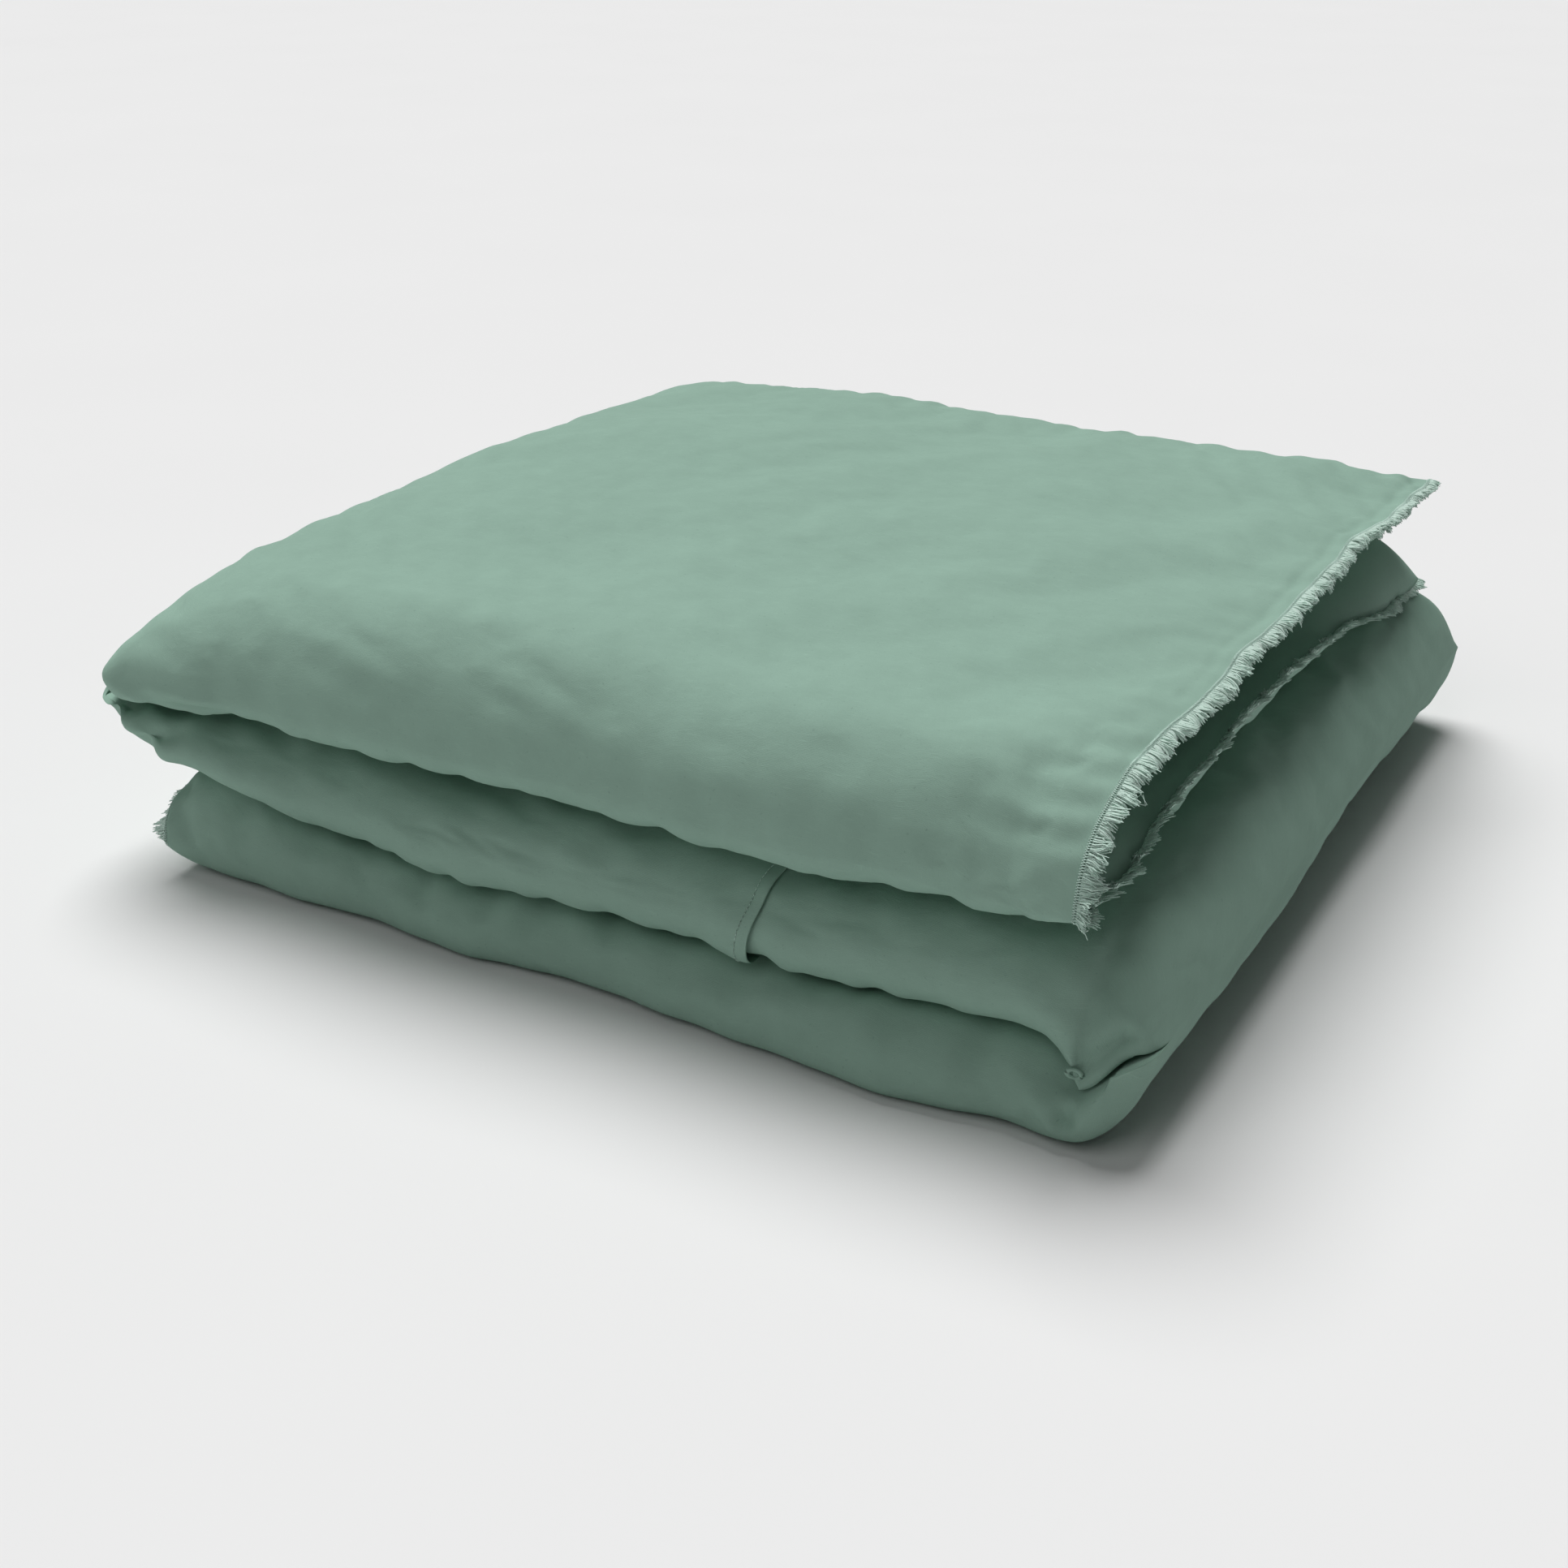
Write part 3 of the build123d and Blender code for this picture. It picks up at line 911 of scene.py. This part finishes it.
def declare_cloth(piece, third, *nodes, flat=None, with_pieces=()):
    """Joins a piece of the cover to its body, and hides the frame's parts that it stands for. flat,
    its flat size, is not used.
    """
    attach(piece, BODY[third])
    if nodes:
        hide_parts(*nodes)


HEM_STITCHES = 0.0066  # from the flap's edge to its row of stitches
# The turned hem's section: how far in from the edge as a share of its width, how far down in mm
HEM_SECTION = ((0.0, 0.0), (-0.03, 0.35), (0.0, 0.7), (0.25, 0.75), (0.6, 0.75), (1.0, 0.7))


class DUVET_OT_opening(bpy.types.Operator):
    """Makes the middle third's cover, which ends in a hemmed flap over an under panel"""

    bl_idname = "duvet.opening"
    bl_label = "Opening"

    def execute(self, context):
        grid = cover_grid("middle")
        first = int(np.argmin(abs(grid[0, :, 0] - UNDERLAP_LOW[0])))
        under = grid[:, first:]
        sink = smooth((HEM_HIGH[0] + 0.02 - under[..., 0]) / 0.06) * 0.0016
        under = under - normals(grid)[:, first:] * sink[..., None]
        piece = grid_piece("opening_under_panel", under, material("washed linen"))
        flat = (RIGHT_X - UNDERLAP_LOW[0] + ROLL_CLOTH, FLAT_THIRD[1])
        declare_cloth(piece, "middle", "opening_underlap", flat=flat)
        width = context.scene.duvet_sizes.hem
        hem = grid_piece("opening_hem", self.hem(grid, width), material("washed linen"))
        declare_cloth(hem, "middle", "opening_flap_hem")
        piece = grid_piece("opening_flap", self.flap(grid), material("washed linen"))
        flat = (HEM_HIGH[0] - LEFT_X + ROLL_CLOTH, FLAT_THIRD[1])
        declare_cloth(piece, "middle", "middle_cover_outer", flat=flat, with_pieces=[hem])
        return {"FINISHED"}

    def flap(self, grid):
        """The flap's cloth, raised off the panel under it, up to its folded edge."""
        rise = bpy.context.scene.duvet_sizes.flap_rise
        keep = int(np.argmin(abs(grid[0, :, 0] - (HEM_HIGH[0] - 0.045))))
        out = normals(grid)
        columns = []
        for column in range(keep + 1):
            lift = flap_lift(grid, grid[:, column, 0], rise)
            columns.append(grid[:, column] + out[:, column] * lift[:, None])
        edge = hem_edge(grid)
        last = grid[:, keep, 0]
        for share in np.linspace(0, 1, 15)[1:]:
            x = last + (edge - last) * share
            normal = unit(at_x(grid, out, x))
            dip = 0.0004 * np.exp(-(((edge - x - HEM_STITCHES) / 0.0012) ** 2))
            lift = flap_lift(grid, x, rise) - dip
            columns.append(at_x(grid, grid, x) + normal * lift[:, None])
        return np.stack(columns, axis=1)

    def hem(self, grid, width):
        """The cloth turned in under the flap's edge."""
        rise = bpy.context.scene.duvet_sizes.flap_rise
        out = normals(grid)
        edge = hem_edge(grid)
        columns = []
        for share, drop in HEM_SECTION:
            x = edge - width * share
            normal = unit(at_x(grid, out, x))
            lift = flap_lift(grid, np.minimum(x, edge), rise) - 0.001 * drop
            columns.append(at_x(grid, grid, x) + normal * lift[:, None])
        return np.stack(columns, axis=1)


def distances_along(points):
    """How far along a line each of its points is."""
    return np.concatenate([[0.0], np.cumsum(np.linalg.norm(np.diff(points, axis=0), axis=1))])


def between(places, gone, field):
    """A line's field at some places along it."""
    return np.stack([np.interp(places, gone, field[:, axis]) for axis in range(3)], axis=-1)


def resampled(points, step):
    """Points at even steps along a line."""
    gone = distances_along(points)
    count = max(2, int(round(gone[-1] / step)) + 1)
    return between(np.linspace(0, gone[-1], count), gone, points)


def inboard(grid, side, distance):
    """The line a distance in from a sheet's left (0) or right (-1) edge, with its normals."""
    sheet = grid if side == 0 else grid[:, ::-1]
    out = normals(grid) if side == 0 else normals(grid)[:, ::-1]
    gone = np.cumsum(np.linalg.norm(np.diff(sheet, axis=1), axis=-1), axis=1)
    gone = np.concatenate([np.zeros((len(sheet), 1)), gone], axis=1)
    points = np.empty((len(sheet), 3))
    normal = np.empty((len(sheet), 3))
    for row in range(len(sheet)):
        for axis in range(3):
            points[row, axis] = np.interp(distance, gone[row], sheet[row, :, axis])
            normal[row, axis] = np.interp(distance, gone[row], out[row, :, axis])
    return points, unit(normal)


def seam_lines(third, distances, step):
    """Lines beside a free end's seam at even steps along it, and the cloth's normals there."""
    grid = cover_grid(third)
    side = -1 if third == "top" else 0
    lines = [inboard(grid, side, d) for d in distances]
    gone = distances_along(lines[0][0])
    places = np.arange(0, gone[-1], step)
    spread = []
    for points, normal in lines:
        spread.append((between(places, gone, points), unit(between(places, gone, normal))))
    return places, gone[-1], spread


def tube_piece(name, paths, radii, finish, sides=4):
    """A named object of many thin tubes."""
    points, faces = tube_mesh(np.asarray(paths), np.asarray(radii), sides)
    return mesh_piece(name, points, faces, finish)


FRINGE_STEP = 0.001  # between the places along the edge where a thread can start
LOCK_PITCH = 0.0025  # from one small bundle of threads to the next
LOCK_THREADS = 14
BOTTOM_FRINGE = 0.7  # length of the bottom third's fringe, as a share of the longest
OVERLOCK_RADIUS = 0.00026
HEM_THREAD_RADIUS = 0.00027


class DUVET_OT_fringe(bpy.types.Operator):
    """Makes the frayed edges of the two free ends, thread by thread"""

    bl_idname = "duvet.fringe"
    bl_label = "Fringe"

    def execute(self, context):
        longest = context.scene.duvet_sizes.fringe
        for third in ("top", "bottom"):
            paths, radii = self.threads(third, longest)
            piece = tube_piece(f"{third}_fringe_threads", paths, radii, material("frayed linen"), 3)
            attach(piece, BODY[third])
            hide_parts(f"{third}_fringe")
        return {"FINISHED"}

    def threads(self, third, longest):
        """The middle lines and radii of a fringe's threads."""
        rng = np.random.default_rng(71 if third == "top" else 72)
        places, total, ((edge, out), (inner, _)) = seam_lines(third, (0.0, 0.004), FRINGE_STEP)
        away = unit(edge - inner)
        away = unit(away + np.array([0.35 if third == "top" else -0.35, 0.0, 0.0]))
        along = unit(np.gradient(edge, axis=0))
        half = total / 2
        # the locks: small bundles of threads that lie together
        locks = np.arange(FRINGE_STEP, total - FRINGE_STEP, LOCK_PITCH)
        locks = locks + rng.normal(0, 0.0006, len(locks))
        lower = locks > half
        from_front = np.abs(locks - half) / half
        if third == "top":
            upper_share = 1.0 - 0.34 * smooth(from_front)
            length = longest * np.where(lower, 0.66 - 0.10 * from_front, upper_share)
        else:
            length = np.full(len(locks), longest * BOTTOM_FRINGE)
        phase = locks / 0.0135 * FULL_TURN + 2.0 * ripple(locks, 5, 0.03, 0.1, 4)
        scallop = 0.5 + 0.5 * np.sin(phase)
        length = length * (0.76 + 0.24 * scallop) * rng.uniform(0.84, 1.12, len(locks))
        lean = 0.16 * ripple(locks, 6, 0.02, 0.07, 5) + rng.normal(0, 0.13, len(locks))
        droop = np.where(lower, 0.25, -0.30) + 0.32 * ripple(locks, 7, 0.015, 0.05, 6)
        if third == "bottom":
            droop = np.where(lower, 0.1, 0.5) + 0.2 * ripple(locks, 7, 0.015, 0.05, 6)
        paths, radii = [], []
        share = np.linspace(0, 1, 6)
        for place, reach, slant, fall in zip(locks, length, lean, droop):
            for _ in range(LOCK_THREADS):
                start = place + rng.uniform(-0.0017, 0.0017)
                i = int(np.clip(start / FRINGE_STEP, 0, len(places) - 1))
                size = reach * rng.uniform(0.62, 1.05)
                layer_up = rng.uniform(-0.0018, 0.0022)
                wave = rng.uniform(0.0004, 0.0012)
                turn = rng.uniform(0, FULL_TURN)
                curl = np.sin(share * rng.uniform(3.0, 8.0) + turn) - math.sin(turn)
                side = -(start - place) * 0.30 * share**2
                side = side + slant * size * share**1.4 + curl * wave * share
                bend = fall * size * share**1.8 + layer_up * (0.4 + 0.6 * share)
                bend = bend + 0.6 * curl * wave * share
                reach_out = -0.0014 + (size + 0.0014) * (share - 0.10 * share**2)
                path = edge[i] + along[i] * (start - places[i]) + away[i] * reach_out[:, None]
                paths.append(path + along[i] * side[:, None] + out[i] * bend[:, None])
                radii.append(rng.uniform(0.00036, 0.00056) * (1 - 0.45 * share**3))
        # a stray looped thread near the front
        if third == "top":
            i = int((half - 0.062) / FRINGE_STEP)
            turns = np.linspace(0, 1.6 * FULL_TURN, 6)
            ring = np.stack([np.sin(turns), 1 - np.cos(turns)], axis=-1) * 0.0042
            path = edge[i] + away[i] * (0.010 + ring[:, :1]) + along[i] * ring[:, 1:]
            paths.append(path + out[i] * 0.001)
            radii.append(np.full(6, 0.00012))
        paths = np.array(paths)
        paths[..., 2] = np.maximum(paths[..., 2], 0.0006)
        return paths, np.array(radii)


class DUVET_OT_seams(bpy.types.Operator):
    """Makes the overlock stitches at the fringes and the row of stitches on the hem"""

    bl_idname = "duvet.seams"
    bl_label = "Stitches"

    def execute(self, context):
        pitch = context.scene.duvet_sizes.stitch
        for third in ("top", "bottom"):
            paths, radii = self.overlock(third, pitch)
            piece = tube_piece(f"{third}_overlock", paths, radii, material("sewing thread"))
            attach(piece, BODY[third])
            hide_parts(f"{third}_fringe_seam")
        piece = tube_piece("opening_stitches", *self.hem_row(pitch), material("sewing thread"))
        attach(piece, BODY["middle"])
        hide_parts("opening_hem_stitches")
        return {"FINISHED"}

    def overlock(self, third, pitch):
        """Slanted stitches side by side over the edge, each a short raised thread."""
        rng = np.random.default_rng(81)
        lines = seam_lines(third, (0.0002, 0.0013, 0.0025, 0.0037), pitch / 2)[2]
        along = unit(np.gradient(lines[0][0], axis=0))
        paths = []
        rises = (0.0002, 0.00055, 0.00055, 0.0001)
        for slant in (-1, 1):
            path = []
            for k, ((point, out), rise) in enumerate(zip(lines, rises)):
                shift = slant * (k / 3 - 0.5) * pitch * 0.5
                shift = shift + rng.normal(0, 0.00008, (len(point), 1))
                path.append(point + along * shift + out * (rise + 0.0001 * (slant + 1)))
            paths.append(np.stack(path, axis=1))
        paths = np.concatenate(paths)
        return paths, np.full(paths.shape[:2], OVERLOCK_RADIUS)

    def hem_row(self, pitch):
        """A row of separate stitches that sink into the hem at both ends."""
        line, out = hem_line(HEM_STITCHES)
        gone = distances_along(line)
        starts = np.arange(0, gone[-1] - pitch, pitch)
        share = np.array([0.0, 0.12, 0.58, 0.70])
        rise = np.array([-0.0003, 0.00018, 0.00018, -0.0003])
        places = starts[:, None] + share * pitch
        raised = unit(between(places, gone, out)) * rise[None, :, None]
        paths = between(places, gone, line) + raised
        return paths, np.full(paths.shape[:2], HEM_THREAD_RADIUS)


class DUVET_OT_insert(bpy.types.Operator):
    """Makes the quilted insert inside the cover: shell, filling, quilting, cord, loops and ties"""

    bl_idname = "duvet.insert"
    bl_label = "Insert"

    def execute(self, context):
        for third in THIRDS:
            self.shell(third)
            self.filling(third)
            self.quilting(third)
            self.cord(third)
        for third in ("bottom", "top"):
            self.loops(third)
        self.label()
        return {"FINISHED"}

    def place(self, piece, third, slot, *nodes):
        """Joins a piece to its body, and hides the frame's parts that it stands for."""
        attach(piece, BODY[third])
        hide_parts(*nodes)
        return piece

    def sheet(self, third, upper, outer, inset):
        """A face of the insert: a leaf's face drawn in from the cover all round."""
        grid = leaf_sheet(third, upper, outer, INSIDE_STEP, INSIDE_STEP)
        left, right = self.sides(third, upper)
        across = (grid[..., 0] - LEFT_X) / (RIGHT_X - LEFT_X)
        x = np.clip(left + across * (right - left), left, right)
        y = (grid[..., 1] - FRONT_Y) / DEPTH * (DEPTH - 2 * INSERT_ROOM) + FRONT_Y + INSERT_ROOM
        outside = layer(third, upper, True, x, y)
        inside = layer(third, upper, False, x, y)
        middle, half = (outside + inside) / 2, np.abs(outside - inside) / 2
        share = np.clip(1 - inset / np.maximum(half, 1e-6), 0.08, 1.0)
        face = outside if outer else inside
        return np.stack([x, y, middle + (face - middle) * share], axis=-1)

    def sides(self, third, upper):
        """X of the insert's left and right edges: the leaf inside a roll ends further in."""
        turned = INSERT_TURN - INSERT_ROOM
        left = BOTTOM_LOW[0] if third == "bottom" else LEFT_X
        right = TOP_HIGH[0] if third == "top" else RIGHT_X
        if (third, upper) in (("bottom", True), ("middle", False)):
            right -= HALF * RIGHT_ROLL + turned
        if (third, upper) in (("middle", True), ("top", False)):
            left += HALF * LEFT_ROLL[third] + turned
        return left + INSERT_ROOM, right - INSERT_ROOM

    def closed(self, third, upper, inset):
        """Points and faces of a closed form between a leaf's two faces."""
        top = self.sheet(third, upper, True, inset)
        low = self.sheet(third, upper, False, inset)
        rows, columns = top.shape[:2]
        points = np.concatenate([top.reshape(-1, 3), low.reshape(-1, 3)])
        index = np.arange(rows * columns).reshape(rows, columns)
        rim = np.concatenate([index[0], index[1:, -1], index[-1, -2::-1], index[-2:0:-1, 0]])
        nxt = np.roll(rim, -1)
        walls = np.stack([rim, nxt, nxt + rows * columns, rim + rows * columns], axis=1)
        other_side = grid_faces(rows, columns, rows * columns)[:, ::-1]
        return points, np.concatenate([grid_faces(rows, columns), other_side, walls])

    def shell(self, third):
        """The insert's cotton, closed round each leaf."""
        upper, upper_faces = self.closed(third, True, INSERT_DEEP)
        lower, lower_faces = self.closed(third, False, INSERT_DEEP)
        points = np.concatenate([upper, lower])
        faces = np.concatenate([upper_faces, lower_faces + len(upper)])
        cotton = material("insert cotton")
        piece = mesh_piece(f"{third}_insert_cotton", points, faces, cotton, points)
        self.place(piece, third, "insert_cloth", f"{third}_insert_shell")

    def filling(self, third):
        """The loose fibre in each leaf."""
        for upper, word in ((True, "upper"), (False, "lower")):
            points, faces = self.closed(third, upper, FILLING_DEEP)
            piece = mesh_piece(f"{third}_{word}_fibre", points, faces, material("loose filling"))
            self.place(piece, third, "filling", f"{third}_filling_{word}")

    def quilting(self, third):
        """Lines of stitches across each leaf that divide the filling into pockets."""
        paths = []
        for upper in (True, False):
            for outer in (True, False):
                grid = self.sheet(third, upper, outer, QUILTING_DEEP)
                for share in (0.25, 0.5, 0.75):
                    paths.append(resampled(grid[:, int(grid.shape[1] * share)], 0.01)[:60])
        count = min(len(path) for path in paths)
        paths = np.array([path[:count] for path in paths])
        radii = np.full(paths.shape[:2], 0.0004)
        name = f"{third}_quilting_thread"
        piece = tube_piece(name, paths, radii, material("sewing thread"))
        self.place(piece, third, "quilting_thread", f"{third}_quilting")

    def cord(self, third):
        """The corded edge along the insert's back edges."""
        paths = []
        for upper in (True, False):
            top = self.sheet(third, upper, True, INSERT_DEEP)
            low = self.sheet(third, upper, False, INSERT_DEEP)
            middle = (top + low) / 2
            lines = [middle[0]]
            if third == "top":
                lines.append(middle[:, -1])
            if third == "bottom":
                lines.append(middle[:, 0])
            paths += [resampled(line, 0.008) for line in lines]
        count = min(len(path) for path in paths)
        kept = [np.linspace(0, len(path) - 1, count).astype(int) for path in paths]
        paths = np.array([path[places] for path, places in zip(paths, kept)])
        radii = np.full(paths.shape[:2], 0.0016)
        piece = tube_piece(f"{third}_corded_edge", paths, radii, material("corded cotton"), 8)
        self.place(piece, third, "piping", f"{third}_insert_piping")

    def loops(self, third):
        """Linked rings at the free end's back corners: the insert's loops and the cover's ties."""
        column = -16 if third == "top" else 15
        turns = np.linspace(0, FULL_TURN, 13)
        radius = 0.0032
        for kind, node, turn in (("loops", "insert_loops", 0.0), ("ties", "corner_ties", 1.0)):
            paths = []
            for upper in (True, False):
                top = leaf_sheet(third, upper, True, INSIDE_STEP, INSIDE_STEP)
                low = leaf_sheet(third, upper, False, INSIDE_STEP, INSIDE_STEP)
                x, y, z = ((top + low) / 2)[12, column]
                across = x + np.cos(turns) * radius + radius * (0.5 - turn)
                deep = y + np.sin(turns) * radius * (1 - turn)
                high = z + np.sin(turns) * radius * 0.5 * turn
                paths.append(np.stack([across, deep, high], axis=-1))
            paths = np.array(paths)
            radii = np.full(paths.shape[:2], 0.0006)
            name = f"{third}_corner_{kind}"
            piece = tube_piece(name, paths, radii, material("corded cotton"), 6)
            self.place(piece, third, "tape", f"{third}_{node}")

    def label(self):
        """A blank label between the cover and the insert."""
        low, high = node_box("care_label")
        x = np.linspace(low[0], high[0], 8)
        y = np.linspace(low[1], high[1], 8)
        grid_x, grid_y = np.meshgrid(x, y)
        top = layer("bottom", True, False, grid_x, grid_y) + 0.0012
        grid = np.stack([grid_x, grid_y, top], axis=-1)
        piece = grid_piece("blank_care_label", grid, material("insert cotton"))
        self.place(piece, "bottom", "label", "care_label")


edges = {}


def hem_edge(grid, distance=0.0):
    """X of the flap's edge in every row, or of a line a distance in from it."""
    if "hem" not in edges:
        x = np.full(len(grid), HEM_HIGH[0])
        for _ in range(3):
            point = at_x(grid, grid, x)
            sway = 0.0012 * ripple(point[:, 1] + point[:, 2], 61, 0.03, 0.12, 5)
            x = HEM_HIGH[0] - 0.010 + 0.26 * (point[:, 2] - LOWER_Z) + sway
        edges["hem"] = x
    return edges["hem"] - distance


def at_x(grid, field, target):
    """A field's value in every row at a given x."""
    value = np.empty((len(grid), 3))
    for row in range(len(grid)):
        for axis in range(3):
            value[row, axis] = np.interp(target[row], grid[row, :, 0], field[row, :, axis])
    return value


def flap_lift(grid, x, rise):
    """How far the flap stands off the panel under it: most in the hollow under its bottom edge."""
    point = at_x(grid, grid, x)
    near_edge = smooth((x - hem_edge(grid) + 0.030) / 0.026)
    low = np.exp(-(((point[:, 2] - LOWER_Z - 0.006) / 0.012) ** 2))
    low = low * np.exp(-(((point[:, 1] - FRONT_Y - 0.01) / 0.016) ** 2))
    lift = rise * (smooth((x - HEM_HIGH[0] + 0.10) / 0.09) + 0.1 * near_edge)
    return lift + 0.0026 * low * near_edge


def hem_line(distance):
    """The line on the flap a distance in from its edge, with the cloth's normals."""
    grid = cover_grid("middle")
    out = normals(grid)
    rise = bpy.context.scene.duvet_sizes.flap_rise
    x = hem_edge(grid, distance)
    normal = unit(at_x(grid, out, x))
    return at_x(grid, grid, x) + normal * flap_lift(grid, x, rise)[:, None], normal


class DUVET_OT_gather(bpy.types.Operator):
    """Makes the small rolled gather where the cloth bunches up at the front right corner"""

    bl_idname = "duvet.gather"
    bl_label = "Corner gather"

    def execute(self, context):
        grid = cover_grid("middle")
        aim = np.array([0.316, -0.328, 0.044])
        nearest = np.argmin(np.linalg.norm(grid - aim, axis=-1))
        row, column = np.unravel_index(nearest, grid.shape[:2])
        centre = grid[row, column] + normals(grid)[row, column] * 0.0006
        turns = np.linspace(0, 1, 25)[:, None] * FULL_TURN
        across = unit(np.array([1.0, 0.35, -0.1]))
        up = unit(np.array([-0.1, -0.25, 1.0]))
        path = centre + across * np.cos(turns) * 0.0036 + up * np.sin(turns) * 0.0028
        thick = 0.0012 + 0.0002 * np.cos(2 * turns[:, 0])
        points, faces = tube_mesh(path[None], thick[None], 10)
        piece = mesh_piece("corner_gather", points, faces, material("washed linen"), points)
        declare_cloth(piece, "middle")
        return {"FINISHED"}


class DUVET_OT_stage(bpy.types.Operator):
    """Sets up the floor, the soft light and the camera"""

    bl_idname = "duvet.stage"
    bl_label = "Stage"

    def execute(self, context):
        settings = context.scene.duvet_stage
        self.floor()
        self.lights(context, settings)
        self.camera(context, settings)
        return {"FINISHED"}

    def floor(self):
        bench = Bench("pale floor")
        vector = object_vector(bench)
        tone = bench.noise(vector, 3.0, 2.0)
        base = bench.mixed(tone, (0.80, 0.80, 0.80, 1), (0.82, 0.82, 0.82, 1))
        shader = bench.add("ShaderNodeBsdfPrincipled", {}, {"Base Color": base, "Roughness": 0.9})
        half = 12.0
        corners = ((-half, -half), (half, -half), (half, half), (-half, half))
        points = [(x, y, -0.0002) for x, y in corners]
        floor = mesh_piece("floor", points, [(0, 1, 2, 3)], bench.finish(shader))

    def lights(self, context, settings):
        context.scene.view_settings.view_transform = "Standard"
        world = bpy.data.worlds.new("soft room")
        context.scene.world = world
        world.use_nodes = True
        background = world.node_tree.nodes["Background"]
        background.inputs["Color"].default_value = (1.0, 1.0, 1.0, 1.0)
        background.inputs["Strength"].default_value = settings.ambient
        for name, power, place in (
            ("key light", settings.key_power, (-0.75, 0.75, 2.0)),
            ("fill light", settings.fill_power, (-0.4, -1.2, 1.5)),
        ):
            lamp = bpy.data.lights.new(name, "SUN")
            lamp.angle = settings.key_spread
            lamp.energy = power
            holder = bpy.data.objects.new(name, lamp)
            holder.location = place
            holder.rotation_euler = facing(place, (0.0, 0.0, 0.0))
            context.scene.collection.objects.link(holder)

    def camera(self, context, settings):
        lens = bpy.data.cameras.new("camera")
        lens.lens = settings.lens
        lens.sensor_width = 36.0
        away = (
            math.sin(settings.azimuth) * math.cos(settings.elevation),
            -math.cos(settings.azimuth) * math.cos(settings.elevation),
            math.sin(settings.elevation),
        )
        place = [a + b * settings.distance for a, b in zip(settings.aim, away)]
        holder = bpy.data.objects.new("camera", lens)
        holder.location = place
        holder.rotation_euler = facing(place, settings.aim)
        context.scene.collection.objects.link(holder)
        context.scene.camera = holder


def facing(place, aim):
    """The rotation that points a lamp or a camera from a place at another."""
    return (Vector(aim) - Vector(place)).to_track_quat("-Z", "Y").to_euler()


class DUVET_PT_panel(bpy.types.Panel):
    """Lists the duvet's pieces"""

    bl_label = "Duvet"
    bl_idname = "DUVET_PT_panel"
    bl_space_type = "VIEW_3D"
    bl_region_type = "UI"
    bl_category = "Duvet"

    def draw(self, context):
        for operator in OPERATORS:
            self.layout.operator(operator.bl_idname)


OPERATORS = (
    DUVET_OT_cover, DUVET_OT_opening, DUVET_OT_gather, DUVET_OT_seams, DUVET_OT_fringe,
    DUVET_OT_insert, DUVET_OT_stage,
)
CLASSES = (DuvetSizes, DuvetColours, StageSettings) + OPERATORS + (DUVET_PT_panel,)


def register():
    for cls in CLASSES:
        bpy.utils.register_class(cls)
    bpy.types.Scene.duvet_sizes = PointerProperty(type=DuvetSizes)
    bpy.types.Scene.duvet_colours = PointerProperty(type=DuvetColours)
    bpy.types.Scene.duvet_stage = PointerProperty(type=StageSettings)


def unregister():
    del bpy.types.Scene.duvet_stage
    del bpy.types.Scene.duvet_colours
    del bpy.types.Scene.duvet_sizes
    for cls in reversed(CLASSES):
        bpy.utils.unregister_class(cls)


def main():
    register()
    bpy.ops.duvet.cover()
    bpy.ops.duvet.opening()
    bpy.ops.duvet.gather()
    bpy.ops.duvet.seams()
    bpy.ops.duvet.fringe()
    bpy.ops.duvet.insert()
    bpy.ops.duvet.stage()


if __name__ == "__main__":
    main()
